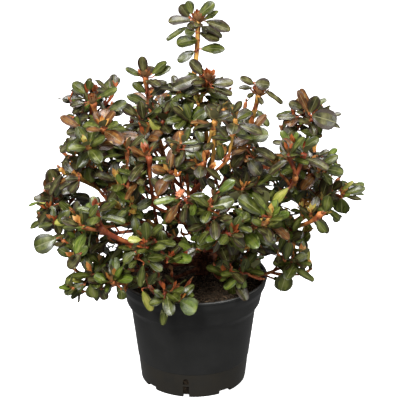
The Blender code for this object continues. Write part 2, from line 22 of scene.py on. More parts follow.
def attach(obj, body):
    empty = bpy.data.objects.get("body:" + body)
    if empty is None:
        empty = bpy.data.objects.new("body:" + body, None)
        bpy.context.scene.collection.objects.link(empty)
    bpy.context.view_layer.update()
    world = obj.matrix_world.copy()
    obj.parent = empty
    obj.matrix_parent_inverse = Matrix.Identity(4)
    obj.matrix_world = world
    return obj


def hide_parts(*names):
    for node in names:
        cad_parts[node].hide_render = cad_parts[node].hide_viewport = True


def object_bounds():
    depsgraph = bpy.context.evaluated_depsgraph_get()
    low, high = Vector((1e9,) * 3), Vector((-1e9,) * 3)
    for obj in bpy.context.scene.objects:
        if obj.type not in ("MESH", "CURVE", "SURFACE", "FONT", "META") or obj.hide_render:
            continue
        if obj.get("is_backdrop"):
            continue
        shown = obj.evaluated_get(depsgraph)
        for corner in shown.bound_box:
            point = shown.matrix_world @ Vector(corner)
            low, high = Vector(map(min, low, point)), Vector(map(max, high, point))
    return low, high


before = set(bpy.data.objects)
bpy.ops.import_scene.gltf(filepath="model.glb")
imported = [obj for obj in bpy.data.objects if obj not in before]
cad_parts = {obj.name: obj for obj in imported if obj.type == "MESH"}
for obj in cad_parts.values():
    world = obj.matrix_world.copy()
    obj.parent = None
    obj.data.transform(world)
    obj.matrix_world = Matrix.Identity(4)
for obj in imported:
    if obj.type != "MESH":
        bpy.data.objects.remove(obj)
lowest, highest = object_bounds()
frame_box = [list(lowest), list(highest)]
print("solids:", len(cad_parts), "box", [round(v, 3) for v in frame_box[0] + frame_box[1]])

# %% [markdown]
# ## The sizes
# Everything is measured in metres from the middle of the pot's underside. The pot is a three-litre
# container, 20 cm across its rim. The table names every bough: the limb it leaves and how far up that
# limb, then the bearing, distance and height of the heart of its foliage, how far the foliage spreads,
# and its number of shoots. Below the table stand the boughs whose shoots have yellow or red skins, and
# how far the tip of a mass leans out of line. Growing from a table of a few numbers keeps the plant
# easy to change: move one row, and a whole branch follows.

# %% Sizes and the bough table
GAP = 0.0003
POT_HEIGHT, RIM_RADIUS, WALL, FLOOR = 0.150, 0.0988, 0.0018, 0.003
SOIL_EDGE, SOIL_CROWN, SOIL_CROWN_RADIUS = 0.1390, 0.1430, 0.040
SHRUB_X = 0.0026
TRUNK_FOOT, TRUNK_HEAD, TRUNK_LENGTH = (SHRUB_X + 0.010, 0.016), (SHRUB_X + 0.014, 0.010), 0.054
GOLDEN = math.radians(137.508)

BOUGHS = (
    ("upper_centre", "trunk", 1.00, 300, 0.012, 0.388, 0.038, 5),
    ("crown_spire", "upper_centre", 0.72, 20, 0.006, 0.475, 0.034, 2),
    ("upper_right", "upper_centre", 0.30, 322, 0.078, 0.345, 0.034, 5),
    ("right_spire", "upper_right", 0.45, 3, 0.079, 0.384, 0.022, 2),
    ("upper_left", "trunk", 0.80, 188, 0.062, 0.345, 0.032, 5),
    ("second_spire", "upper_left", 0.50, 155, 0.071, 0.398, 0.020, 2),
    ("left_crown", "upper_left", 0.28, 178, 0.132, 0.368, 0.028, 5),
    ("left_middle", "trunk", 0.60, 186, 0.144, 0.302, 0.029, 5),
    ("far_left", "left_middle", 0.45, 174, 0.174, 0.234, 0.024, 4),
    ("left_low", "trunk", 0.40, 202, 0.160, 0.212, 0.026, 4),
    ("left_inner", "trunk", 0.70, 220, 0.112, 0.292, 0.034, 4),
    ("left_foot", "trunk", 0.24, 218, 0.145, 0.186, 0.024, 3),
    ("front_left", "left_foot", 0.40, 252, 0.112, 0.170, 0.020, 3),
    ("front_centre", "trunk", 0.50, 248, 0.122, 0.236, 0.030, 4),
    ("front_high", "trunk", 0.78, 262, 0.090, 0.344, 0.034, 5),
    ("front_low", "trunk", 0.62, 277, 0.132, 0.282, 0.034, 4),
    ("front_right", "trunk", 0.52, 309, 0.128, 0.255, 0.034, 4),
    ("front_pot", "trunk", 0.32, 308, 0.088, 0.182, 0.020, 3),
    ("right_foot", "trunk", 0.26, 338, 0.134, 0.188, 0.022, 3),
    ("right_low", "trunk", 0.46, 349, 0.152, 0.250, 0.026, 4),
    ("far_right", "right_low", 0.55, 3, 0.178, 0.268, 0.022, 3),
    ("right_middle", "trunk", 0.68, 356, 0.140, 0.302, 0.032, 5),
    ("right_crown", "right_middle", 0.50, 4, 0.136, 0.364, 0.023, 4),
    ("back_left", "trunk", 0.74, 118, 0.120, 0.330, 0.032, 4),
    ("back_right", "trunk", 0.76, 58, 0.118, 0.332, 0.032, 4),
    ("back_low_left", "trunk", 0.48, 145, 0.150, 0.235, 0.032, 4),
    ("back_low_right", "trunk", 0.50, 35, 0.150, 0.235, 0.032, 4),
    ("back_low", "trunk", 0.56, 90, 0.145, 0.260, 0.032, 4),
)
SECOND_SOWING = {"right_crown": 2}  # the one mass whose first seed did not fuse cleanly as a solid
SOLE_SHOOT = ("crown_spire", "second_spire", "right_spire")  # leading shoots, each under one rosette
YELLOW_SHOOTS = ("crown_spire", "upper_centre", "right_spire", "left_inner", "front_right", "right_low")
RED_SHOOTS = ("left_crown", "upper_left", "front_centre", "front_low", "right_crown",
              "front_left", "far_left", "front_pot")
LEAN = {
    "crown_spire": (-0.0065, 0, -0.004),
    "second_spire": (0.003, -0.030, 0.012),
    "right_spire": (-0.003, -0.020, 0.006),
    "left_crown": (-0.002, 0, 0.008),
    "right_crown": (0.007, 0, -0.001),
    "far_left": (-0.006, 0, 0.006),
    "left_foot": (-0.005, 0, -0.005),
    "left_low": (-0.008, 0, 0),
}
print("boughs:", len(BOUGHS), "shoots:", sum(row[-1] for row in BOUGHS))

# %% [markdown]
# ## Where the light comes through
# No shrub fills its own outline. The crown dips between its leading shoots, and lower down daylight
# shows between the stems. Each opening here is a channel that runs straight back from the eye. It is
# named by where it crosses the upright plane through the trunk, and by its half-width and half-height.
# The clear ones hold no leaves. In the thinned ones a share of the leaves still hangs, and that share
# comes last in the row.

# %% Openings in the crown
EYE = Vector((0.0, -2.054, 1.057))
CLEAR_OPENINGS = (
    (-0.086, 0.42, 0.012, 0.023), (-0.017, 0.437, 0.014, 0.016), (0.057, 0.466, 0.013, 0.026),
    (0.026, 0.449, 0.011, 0.007), (0.061, 0.391, 0.012, 0.012), (0.104, 0.386, 0.022, 0.012),
    (0.102, 0.349, 0.01, 0.03), (-0.178, 0.355, 0.016, 0.026), (-0.132, 0.267, 0.014, 0.008),
    (-0.094, 0.368, 0.012, 0.007), (-0.041, 0.322, 0.005, 0.018), (0.019, 0.316, 0.005, 0.012),
    (0.019, 0.269, 0.004, 0.013), (-0.01, 0.215, 0.005, 0.014), (0.122, 0.396, 0.013, 0.007),
    (0.015, 0.17, 0.013, 0.013), (0.173, 0.336, 0.012, 0.012), (0.16, 0.203, 0.011, 0.008),
    (-0.178, 0.108, 0.013, 0.013), (0.129, 0.124, 0.008, 0.009), (-0.102, 0.098, 0.024, 0.013),
    (-0.148, 0.095, 0.035, 0.012), (-0.187, 0.311, 0.016, 0.012), (-0.211, 0.262, 0.008, 0.017),
    (0.189, 0.203, 0.013, 0.014), (0.167, 0.154, 0.011, 0.023), (0.101, 0.125, 0.011, 0.021),
    (-0.181, 0.161, 0.023, 0.017), (0.151, 0.132, 0.019, 0.015), (0.1, 0.163, 0.013, 0.012),
    (0.181, 0.193, 0.012, 0.017), (0.126, 0.249, 0.011, 0.007), (0.116, 0.192, 0.015, 0.004),
    (0.205, 0.298, 0.012, 0.011), (0.209, 0.248, 0.012, 0.011), (0.02, 0.128, 0.02, 0.029),
    (0.08, 0.131, 0.012, 0.021), (0.051, 0.409, 0.012, 0.019), (-0.174, 0.403, 0.013, 0.008),
    (-0.187, 0.324, 0.014, 0.012), (0.149, 0.228, 0.007, 0.006), (0.202, 0.287, 0.024, 0.008),
    (0.166, 0.18, 0.008, 0.022), (-0.007, 0.436, 0.008, 0.008), (0.031, 0.433, 0.01, 0.011),
    (-0.168, 0.383, 0.01, 0.011), (-0.185, 0.306, 0.016, 0.008), (-0.204, 0.28, 0.01, 0.014),
    (-0.187, 0.21, 0.021, 0.006), (0.066, 0.385, 0.012, 0.008), (-0.1, 0.397, 0.013, 0.005),
    (-0.199, 0.297, 0.007, 0.008), (-0.183, 0.137, 0.009, 0.007), (-0.185, 0.119, 0.009, 0.007),
    (0.108, 0.153, 0.011, 0.007), (0.141, 0.144, 0.012, 0.007), (-0.191, 0.176, 0.012, 0.006),
    (0.146, 0.405, 0.005, 0.007), (0.172, 0.351, 0.01, 0.004), (-0.029, 0.353, 0.006, 0.004),
    (-0.038, 0.324, 0.005, 0.019), (0.018, 0.313, 0.004, 0.011), (0.002, 0.316, 0.004, 0.007),
    (0.016, 0.269, 0.004, 0.011), (-0.02, 0.233, 0.005, 0.004), (-0.044, 0.246, 0.007, 0.007),
    (-0.084, 0.375, 0.008, 0.005), (-0.064, 0.112, 0.012, 0.018), (-0.011, 0.077, 0.019, 0.013),
    (-0.041, 0.083, 0.011, 0.012), (-0.127, 0.271, 0.01, 0.007), (0.182, 0.216, 0.011, 0.007),
    (0.16, 0.398, 0.018, 0.005), (0.184, 0.383, 0.006, 0.008), (0.118, 0.363, 0.006, 0.004),
    (-0.159, 0.38, 0.005, 0.007), (-0.165, 0.357, 0.004, 0.005), (-0.174, 0.295, 0.004, 0.011),
    (-0.109, 0.119, 0.007, 0.007), (0.201, 0.253, 0.016, 0.004), (0.178, 0.228, 0.007, 0.006),
    (0.199, 0.229, 0.005, 0.006), (0.081, 0.372, 0.005, 0.011), (0.105, 0.15, 0.011, 0.006),
    (-0.149, 0.269, 0.008, 0.006), (-0.119, 0.259, 0.005, 0.008), (0.143, 0.151, 0.012, 0.006),
    (0.138, 0.187, 0.005, 0.012), (-0.211, 0.226, 0.007, 0.007), (-0.014, 0.264, 0.012, 0.013),
    (-0.162, 0.405, 0.006, 0.009), (0.195, 0.308, 0.007, 0.006), (0.127, 0.399, 0.006, 0.005),
    (0.106, 0.329, 0.006, 0.006), (0.089, 0.334, 0.005, 0.004), (0.162, 0.329, 0.005, 0.006),
    (-0.171, 0.145, 0.008, 0.006), (-0.154, 0.16, 0.008, 0.007), (-0.135, 0.107, 0.009, 0.004),
    (-0.212, 0.235, 0.005, 0.009), (0.127, 0.114, 0.005, 0.007),
)
THINNED_PLACES = (
    (0.002, 0.308, 0.063, 0.047, 0.6), (-0.037, 0.243, 0.032, 0.051, 0.5),
    (-0.069, 0.154, 0.024, 0.013, 0.25), (-0.015, 0.151, 0.035, 0.017, 0.06),
    (0.055, 0.166, 0.012, 0.010, 0.3), (-0.038, 0.114, 0.048, 0.024, 0.4),
    (-0.096, 0.122, 0.019, 0.018, 0.3), (0.037, 0.317, 0.021, 0.055, 0.5),
    (-0.025, 0.137, 0.019, 0.012, 0.2), (-0.138, 0.277, 0.008, 0.008, 0.3),
    (-0.101, 0.203, 0.027, 0.011, 0.45), (0.149, 0.212, 0.016, 0.017, 0.45),
)
OPENINGS_IN_CROWN = [(*row, 0.0) for row in CLEAR_OPENINGS] + list(THINNED_PLACES)


def seen_at(spot):
    """Where the line from the eye through a spot crosses the plane through the trunk."""
    share = -EYE.y / (spot.y - EYE.y)
    return EYE.x + (spot.x - EYE.x) * share, EYE.z + (spot.z - EYE.z) * share


def leaves_kept(spot):
    """The share of leaves that hang at a spot: 1 in full foliage, less in an opening."""
    x, z = seen_at(spot)
    share = 1.0
    for middle_x, middle_z, wide, high, kept in OPENINGS_IN_CROWN:
        if math.hypot((x - middle_x) / wide, (z - middle_z) / high) < 1:
            share = min(share, kept)
    return share


print("openings:", len(OPENINGS_IN_CROWN))

# %% [markdown]
# ## Small tools
# A few helpers are used all the way through. `dress` hands a finished piece to the frame: which body
# it rides on, and which solids it takes the place of.

# %% Helpers
def mix(low, high, share):
    return low + (high - low) * share


def held(share):
    """The share, held between 0 and 1."""
    return max(0.0, min(1.0, share))


def across(direction):
    """Two unit vectors square to the direction and to each other."""
    helper = Vector((0, 0, 1)) if abs(direction.z) < 0.9 else Vector((1, 0, 0))
    side = direction.cross(helper).normalized()
    return side, side.cross(direction).normalized()


def at_turn(pair, turn):
    """The direction at a turn round an axis, from the two unit vectors square to it."""
    return pair[0] * math.cos(turn) + pair[1] * math.sin(turn)


def line_length(line):
    return sum((b - a).length for a, b in zip(line, line[1:]))


def ring_faces(rings, sides, first=0):
    """The four-sided faces between rings of points, from the number of the first point on."""
    faces = []
    for ring in range(rings - 1):
        for side in range(sides):
            a = first + ring * sides + side
            b = first + ring * sides + (side + 1) % sides
            faces.append((a, b, b + sides, a + sides))
    return faces


def mesh_object(name, points, faces, materials, slots=None, smooth=True):
    """A mesh object from arrays; slots gives each face its material's number."""
    mesh = bpy.data.meshes.new(name)
    mesh.from_pydata(points, [], faces)
    for material in materials:
        mesh.materials.append(material)
    if slots is not None:
        mesh.polygons.foreach_set("material_index", np.asarray(slots, dtype=np.int32))
    mesh.polygons.foreach_set("use_smooth", np.full(len(mesh.polygons), smooth))
    mesh.update()
    made = bpy.data.objects.new(name, mesh)
    bpy.context.scene.collection.objects.link(made)
    return made


def dress(piece, slot, *nodes):
    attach(piece, "root")
    if nodes:
        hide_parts(*nodes)
    return piece


def triangles(piece):
    piece.data.calc_loop_triangles()
    return len(piece.data.loop_triangles)


# %% [markdown]
# ## Materials
# A believable surface is never one flat colour. `surface` builds every material here from the same
# small recipe: two to four colours mixed by a noise pattern, a roughness that drifts with the same
# pattern, and a fine bump from another. Object coordinates are in metres, so a noise scale of 200
# gives spots of about half a centimetre.

# %% The material recipe
def spots_of_noise(tree, place, scale, detail):
    """A noise pattern over coordinates, as a socket that gives 0 to 1."""
    pattern = tree.nodes.new("ShaderNodeTexNoise")
    pattern.inputs["Scale"].default_value = scale
    pattern.inputs["Detail"].default_value = detail
    tree.links.new(place, pattern.inputs["Vector"])
    return pattern.outputs["Fac"]


def surface(name, colours, scale, roughness, bump=0.0, bump_scale=1500, stretch=(1, 1, 1), specular=0.5,
            detail=4.0, sheen=0.0, spread=(0.35, 0.65)):
    """A Principled material: colours blended by noise, drifting roughness and a fine bump."""
    material = bpy.data.materials.new(name)
    material.use_nodes = True
    tree = material.node_tree
    nodes, links = tree.nodes, tree.links
    shader = nodes["Principled BSDF"]
    place = nodes.new("ShaderNodeTexCoord")
    mapping = nodes.new("ShaderNodeMapping")
    mapping.inputs["Scale"].default_value = stretch
    links.new(place.outputs["Object"], mapping.inputs["Vector"])
    blotches = spots_of_noise(tree, mapping.outputs["Vector"], scale, detail)
    ramp = nodes.new("ShaderNodeValToRGB")
    ramp.color_ramp.elements[0].position, ramp.color_ramp.elements[1].position = spread
    ramp.color_ramp.elements[0].color = (*colours[0], 1)
    ramp.color_ramp.elements[1].color = (*colours[-1], 1)
    for number, colour in enumerate(colours[1:-1]):
        stop = ramp.color_ramp.elements.new(mix(*spread, (number + 1) / (len(colours) - 1)))
        stop.color = (*colour, 1)
    links.new(blotches, ramp.inputs["Fac"])
    links.new(ramp.outputs["Color"], shader.inputs["Base Color"])
    drift = nodes.new("ShaderNodeMapRange")
    drift.inputs["To Min"].default_value, drift.inputs["To Max"].default_value = roughness
    links.new(blotches, drift.inputs["Value"])
    links.new(drift.outputs["Result"], shader.inputs["Roughness"])
    if bump:
        grain = spots_of_noise(tree, mapping.outputs["Vector"], bump_scale, 5.0)
        relief = nodes.new("ShaderNodeBump")
        relief.inputs["Strength"].default_value = 1.0
        relief.inputs["Distance"].default_value = bump
        links.new(grain, relief.inputs["Height"])
        links.new(relief.outputs["Normal"], shader.inputs["Normal"])
    shader.inputs["Specular IOR Level"].default_value = specular
    shader.inputs["Sheen Weight"].default_value = sheen
    return material


# %% [markdown]
# ## The pot
# The real pot is blow-moulded or injection-moulded from black plastic about 2 mm thick, with a rolled
# lip, a deep collar for stacking, a long tapering wall and a low foot band. Turning a profile round
# the axis is the natural way to make it. The profile below runs up the inside, over the lip and down
# the outside, and a Screw modifier sweeps it round.

# %% Turn the pot
LIP_HEIGHT, LIP_STEP, POT_SEGMENTS = 0.0038, 0.0010, 144
BAND_TOP, BAND_STEP = 0.0350, 0.0006  # where the foot band ends, and how far it stands back there
# the height and the outer radius of the wall at each change of its slope
STATIONS = ((FLOOR, 0.07095), (0.0355, 0.0748), (0.1050, 0.0838), (0.1135, 0.0896), (0.1300, 0.0926),
            (0.1385, 0.0970), (POT_HEIGHT, 0.0978))


def inner_wall(height):
    for (low, inside), (high, outside) in zip(STATIONS, STATIONS[1:]):
        if height <= high:
            break
    return mix(inside, outside, (height - low) / (high - low)) - WALL


def round_corner(before, corner, after, radius, steps=4):
    """A corner of a profile, eased over a short curve."""
    a, c, b = Vector(before), Vector(corner), Vector(after)
    start = c + (a - c).normalized() * radius
    end = c + (b - c).normalized() * radius
    eased = []
    for i in range(steps + 1):
        t = i / steps
        spot = start * (1 - t) ** 2 + c * 2 * t * (1 - t) + end * t * t
        eased.append((spot.x, spot.y))
    return eased


def eased_profile(corners):
    """Corners are (radius, height, easing); easing 0 keeps the corner sharp."""
    points = []
    for i, (radius, height, easing) in enumerate(corners):
        if easing and 0 < i < len(corners) - 1:
            points += round_corner(corners[i - 1][:2], (radius, height), corners[i + 1][:2], easing)
        else:
            points.append((radius, height))
    return points


def turned(name, profile, segments, material):
    mesh = bpy.data.meshes.new(name)
    mesh.from_pydata([(r, 0, z) for r, z in profile], [(i, i + 1) for i in range(len(profile) - 1)], [])
    mesh.materials.append(material)
    made = bpy.data.objects.new(name, mesh)
    bpy.context.scene.collection.objects.link(made)
    screw = made.modifiers.new("turn", "SCREW")
    screw.steps = screw.render_steps = segments
    screw.use_merge_vertices = True
    screw.merge_threshold = 1e-5
    screw.use_smooth_shade = True
    return made


pot_corners = [(0, FLOOR, 0), (inner_wall(FLOOR), FLOOR, 0.002)]
pot_corners += [(inner_wall(height), height, 0.0015) for height, _ in STATIONS[1:-1]]
pot_corners += [
    (inner_wall(0.1462), 0.1462, 0),
    (inner_wall(POT_HEIGHT) - 0.0002, POT_HEIGHT, 0.0007),
    (RIM_RADIUS, POT_HEIGHT, 0.0012),  # the rolled lip
    (RIM_RADIUS, POT_HEIGHT - LIP_HEIGHT + 0.0006, 0.0004),
    (RIM_RADIUS - LIP_STEP, POT_HEIGHT - LIP_HEIGHT, 0.0003),
    (0.0970, 0.1385, 0.0022),  # the collar
    (0.0926, 0.1300, 0.0024),
    (0.0896, 0.1135, 0.0020),
    (0.0838, 0.1050, 0.0030),  # the long wall
    (0.0748, BAND_TOP + 0.0007, 0.0002),
    (0.0748 - BAND_STEP, BAND_TOP, 0.0002),
    (0.0706, 0.0016, 0.0008),
    (0.0690, 0.0000, 0.0004),  # the ring that the pot stands on
    (0.0650, 0.0000, 0.0004),
    (0.0640, 0.0008, 0.0004),
    (0, 0.0008, 0),
]
pot_plastic = surface("pot_black_plastic", ((0.0185, 0.0186, 0.0180), (0.0235, 0.0235, 0.0228)), 34,
                      (0.36, 0.48), bump=0.00010, bump_scale=900, detail=6, specular=0.12)
pot = turned("nursery_pot", eased_profile(pot_corners), POT_SEGMENTS, pot_plastic)

# %% [markdown]
# Water has to leave a nursery pot. Four arched slots go through the foot band, each split by a thin
# bar so that the soil stays in, and between them four low notches bite the edge of the foot, so that
# the pot can't seal itself to a bench. They are cut with one Boolean, which is then applied, so that
# the cutters can be thrown away.

# %% Cut the drain slots
SLOT_BEARING, SLOT_INNER, SLOT_OUTER = -98, 0.0620, 0.0820
ARCH_STEPS = 10
# turn from the slot's bearing, width, lower and upper edge, and whether the top is an arch
OPENINGS = ((0, 0.0080, -0.0010, 0.0168, False), (0, 0.0080, 0.0192, 0.0285, True),
            (45, 0.0190, -0.0010, 0.0055, False))


def slot_prism(bearing, width, low, high, arched):
    """Points and faces of one upright cutter on a bearing."""
    half = width / 2
    outline = [(-half, low), (half, low)]
    if arched:
        for i in range(ARCH_STEPS + 1):
            turn = math.pi * i / ARCH_STEPS
            outline.append((half * math.cos(turn), high - half + half * math.sin(turn)))
    else:
        outline += [(half, high), (-half, high)]
    turn, count = math.radians(bearing), len(outline)
    points = []
    for reach in (SLOT_INNER, SLOT_OUTER):
        for x, z in outline:
            points.append((reach * math.cos(turn) - x * math.sin(turn),
                           reach * math.sin(turn) + x * math.cos(turn), z))
    faces = [tuple(range(count)), tuple(range(2 * count - 1, count - 1, -1))]
    return points, faces + ring_faces(2, count)


def settle(piece):
    """Apply every modifier, so that the mesh is what is seen."""
    graph = bpy.context.evaluated_depsgraph_get()
    piece.data = bpy.data.meshes.new_from_object(piece.evaluated_get(graph))
    piece.modifiers.clear()


def outward(piece):
    shape = bmesh.new()
    shape.from_mesh(piece.data)
    bmesh.ops.recalc_face_normals(shape, faces=shape.faces)
    shape.to_mesh(piece.data)
    shape.free()


all_points, all_faces = [], []
for quarter in range(4):
    for offset, width, low, high, arched in OPENINGS:
        points, faces = slot_prism(SLOT_BEARING + offset + 90 * quarter, width, low, high, arched)
        all_faces += [tuple(len(all_points) + i for i in face) for face in faces]
        all_points += points
cutter = mesh_object("slot_cutters", all_points, all_faces, [pot_plastic], smooth=False)
outward(cutter)
settle(pot)
outward(pot)
cut = pot.modifiers.new("slots", "BOOLEAN")
cut.operation, cut.object, cut.solver = "DIFFERENCE", cutter, "EXACT"
settle(pot)
bpy.data.objects.remove(cutter)
dress(pot, "pot_plastic", "pot")
print("pot:", triangles(pot), "triangles")

# %% [markdown]
# Smooth shading over the square edges of the slots would smear the light, so every edge that turns by
# more than 30 degrees is marked sharp. The lip and the collar are eased by real geometry, and stay
# soft. The top of the lip gets a smoother plastic with a much paler colour, and that paler colour is a
# painted highlight: the thin bright line of light along the rim. The foot band of a used pot is never
# clean black: soil splashes and dry dust make it browner, so a second colour fades in by height.

# %% Sharp edges and dust
def sharpen(piece, degrees=30):
    shape = bmesh.new()
    shape.from_mesh(piece.data)
    for edge in shape.edges:
        edge.smooth = not (len(edge.link_faces) == 2 and edge.calc_face_angle() > math.radians(degrees))
    shape.to_mesh(piece.data)
    shape.free()


def fade_by_height(material, colour, full_height, gone_height, strength, patch_scale):
    """Mix another colour in low down, broken up by patches."""
    nodes, links = material.node_tree.nodes, material.node_tree.links
    shader = nodes["Principled BSDF"]
    base = shader.inputs["Base Color"].links[0].from_socket
    place = nodes.new("ShaderNodeTexCoord")
    split = nodes.new("ShaderNodeSeparateXYZ")
    links.new(place.outputs["Object"], split.inputs["Vector"])
    fall = nodes.new("ShaderNodeMapRange")
    fall.inputs["From Min"].default_value = full_height
    fall.inputs["From Max"].default_value = gone_height
    fall.inputs["To Min"].default_value, fall.inputs["To Max"].default_value = strength, 0.0
    links.new(split.outputs["Z"], fall.inputs["Value"])
    patches = spots_of_noise(material.node_tree, place.outputs["Object"], patch_scale, 6.0)
    both = nodes.new("ShaderNodeMath")
    both.operation = "MULTIPLY"
    links.new(fall.outputs["Result"], both.inputs[0])
    links.new(patches, both.inputs[1])
    blend = nodes.new("ShaderNodeMix")
    blend.data_type = "RGBA"
    links.new(both.outputs["Value"], blend.inputs["Factor"])
    links.new(base, blend.inputs["A"])
    blend.inputs["B"].default_value = (*colour, 1)
    links.new(blend.outputs["Result"], shader.inputs["Base Color"])


LIP_HIGHLIGHT_DEPTH, DUST = 0.0009, (0.034, 0.028, 0.019)
sharpen(pot)
# The lip's much paler colour is a painted highlight, the bright line of light along the rim; its lower
# roughness is the smoother plastic there.
lip_painted_highlight = surface("pot_worn_lip", ((0.070, 0.070, 0.067), (0.120, 0.120, 0.115)), 60, (0.20, 0.30),
                   bump=0.00004, bump_scale=900, specular=0.55)
pot.data.materials.append(lip_painted_highlight)
for face in pot.data.polygons:
    if face.center.z > POT_HEIGHT - LIP_HIGHLIGHT_DEPTH:
        face.material_index = 1
fade_by_height(pot_plastic, DUST, BAND_TOP - 0.0005, BAND_TOP + 0.0005, 0.85, 60)
print("lip faces with the painted highlight:", sum(face.material_index for face in pot.data.polygons))

# %% [markdown]
# ## The soil
# Potting soil is moist peat with bits of bark and fibre. The top is a fine polar grid pushed up and
# down by layered noise, lower at the wall and highest round the trunk. Its sides follow the pot's
# inside and close underneath, so the slots look into soil, not into an empty pot.

# %% The peat surface
RINGS, SPOKES = 56, 168
CROWN_LIE, EDGE_LIE, EDGE_RADIUS = SOIL_CROWN - 0.0012, SOIL_EDGE - 0.0014, 0.092
SIDE_HEIGHTS = (0.1300, 0.1135, 0.1050, 0.0700, 0.0355, FLOOR + 2 * GAP)


def soil_height(x, y):
    """The lie of the peat: a low crown, clods and grit."""
    reach = math.hypot(x, y)
    share = held((reach - SOIL_CROWN_RADIUS) / (EDGE_RADIUS - SOIL_CROWN_RADIUS))
    lie = mix(CROWN_LIE, EDGE_LIE, share * share * (3 - 2 * share))
    clods = noise.noise(Vector((x * 70, y * 70, 1.7))) * 0.0012
    clods += noise.noise(Vector((x * 190, y * 190, 5.1))) * 0.0009
    grit = noise.noise(Vector((x * 520, y * 520, 9.3))) * 0.0005
    return lie + clods + grit


points, faces = [(0, 0, soil_height(0, 0))], []
wall_reach = inner_wall(SOIL_EDGE) - 2 * GAP
for ring in range(1, RINGS + 1):
    reach = wall_reach * ring / RINGS
    for spoke in range(SPOKES):
        turn = 2 * math.pi * spoke / SPOKES
        x, y = reach * math.cos(turn), reach * math.sin(turn)
        points.append((x, y, min(soil_height(x, y), SOIL_CROWN)))
for height in SIDE_HEIGHTS:
    reach = inner_wall(height) - 2 * GAP
    for spoke in range(SPOKES):
        turn = 2 * math.pi * spoke / SPOKES
        rough = noise.noise(Vector((reach * 60 * math.cos(turn), reach * 60 * math.sin(turn), height * 90)))
        inset = reach - 0.0006 * (1 + rough)
        points.append((inset * math.cos(turn), inset * math.sin(turn), height))
rows = RINGS + len(SIDE_HEIGHTS)
for spoke in range(SPOKES):
    after = (spoke + 1) % SPOKES
    faces.append((0, 1 + spoke, 1 + after))
    for row in range(rows - 1):
        a, b = 1 + row * SPOKES + spoke, 1 + row * SPOKES + after
        faces.append((a, a + SPOKES, b + SPOKES, b))
faces.append(tuple(1 + (rows - 1) * SPOKES + spoke for spoke in reversed(range(SPOKES))))
peat = surface("potting_peat", ((0.016, 0.011, 0.007), (0.050, 0.034, 0.020), (0.110, 0.076, 0.046)),
               240, (0.85, 1.0), bump=0.0008, bump_scale=700, detail=9, specular=0.25)
soil = dress(mesh_object("potting_soil_ball", points, faces, [peat]), "potting_soil", "soil")
outward(soil)
print("soil:", triangles(soil), "triangles")

# %% [markdown]
# Crumbs and shreds sit loose on the peat: rough little lumps, and thin curled fibres of bark. Each
# crumb is a cube of eight corners pushed about at random, which reads as a clod at this size and
# costs almost nothing.

# %% Crumbs and bark shreds
chance = random.Random(7)
CRUMBS, CRUMB_SIZES, SHREDS = 1500, (0.0006, 0.0021), 150


def place_on_soil(margin):
    """A random place on the peat that keeps a margin from the wall."""
    reach = (wall_reach - margin) * math.sqrt(chance.random())
    turn = chance.uniform(0, 2 * math.pi)
    return reach * math.cos(turn), reach * math.sin(turn)


def crumb(place, size):
    """Eight shaken corners and the six sides between them."""
    corners = []
    for x, y, z in product((-1, 1), repeat=3):
        shake = Vector([chance.uniform(0.55, 1.0) for _ in range(3)])
        corners.append(Vector((x * shake.x, y * shake.y, 0.75 * z * shake.z)) * size)
    turn = Quaternion((chance.random(), chance.random(), chance.random()), chance.uniform(0, 6.28))
    sides = [(0, 1, 3, 2), (4, 6, 7, 5), (0, 4, 5, 1), (2, 3, 7, 6), (0, 2, 6, 4), (1, 5, 7, 3)]
    return [place + turn @ corner for corner in corners], sides


def loose_crumbs(count):
    """Crumbs that lie on the peat, a quarter of their size above it."""
    points, faces = [], []
    for _ in range(count):
        x, y = place_on_soil(0.004)
        size = chance.uniform(*CRUMB_SIZES)
        corners, sides = crumb(Vector((x, y, soil_height(x, y) + size * 0.25)), size)
        faces += [tuple(len(points) + i for i in side) for side in sides]
        points += corners
    return points, faces


def shreds(count):
    """Flat curled fibres, each a closed strip of six rings with four corners."""
    rings = 6
    points, faces = [], []
    for _ in range(count):
        x, y = place_on_soil(0.012)
        heading, bend = chance.uniform(0, 2 * math.pi), chance.uniform(-1.2, 1.2)
        length, half = chance.uniform(0.005, 0.013), chance.uniform(0.0003, 0.0008)
        first = len(points)
        for i in range(rings):
            angle = heading + bend * i / (rings - 1)
            x += math.cos(angle) * length / rings
            y += math.sin(angle) * length / rings
            z = soil_height(x, y) + 0.0006
            wide = Vector((-math.sin(angle), math.cos(angle), 0)) * half
            for side, lift in ((-1, 0), (1, 0), (1, 0.0004), (-1, 0.0004)):
                points.append(Vector((x, y, z + lift)) + wide * side)
        faces += ring_faces(rings, 4, first)
        faces += [tuple(first + i for i in (0, 3, 2, 1)), tuple(len(points) - 4 + i for i in range(4))]
    return points, faces


crumb_peat = surface("peat_crumbs", ((0.022, 0.014, 0.008), (0.105, 0.070, 0.042)), 160,
                     (0.8, 1.0), bump=0.0004, bump_scale=900, detail=7, specular=0.25)
bark_bits = surface("bark_shreds", ((0.090, 0.050, 0.026), (0.300, 0.190, 0.110)), 90,
                    (0.7, 0.95), bump=0.0003, bump_scale=700, specular=0.25)
crumbs = mesh_object("peat_crumbs", *loose_crumbs(CRUMBS), [crumb_peat], smooth=False)
fibres = mesh_object("bark_shreds", *shreds(SHREDS), [bark_bits])
for piece in (crumbs, fibres):
    outward(piece)
    dress(piece, "potting_soil")
    print(piece.name, triangles(piece), "triangles")

# %% [markdown]
# ## How the shrub grows
# Every limb is one smooth curve that leaves its parent, bends, and arrives at its mass of foliage
# already pointing the way that growth points there: well outwards low down, upright in the crown. The
# same rule made the solids, so repeating it here puts each finer bough exactly where its plain one
# was. A cubic curve needs only four handles, so a limb is kept as handles and drawn as finely as wanted.

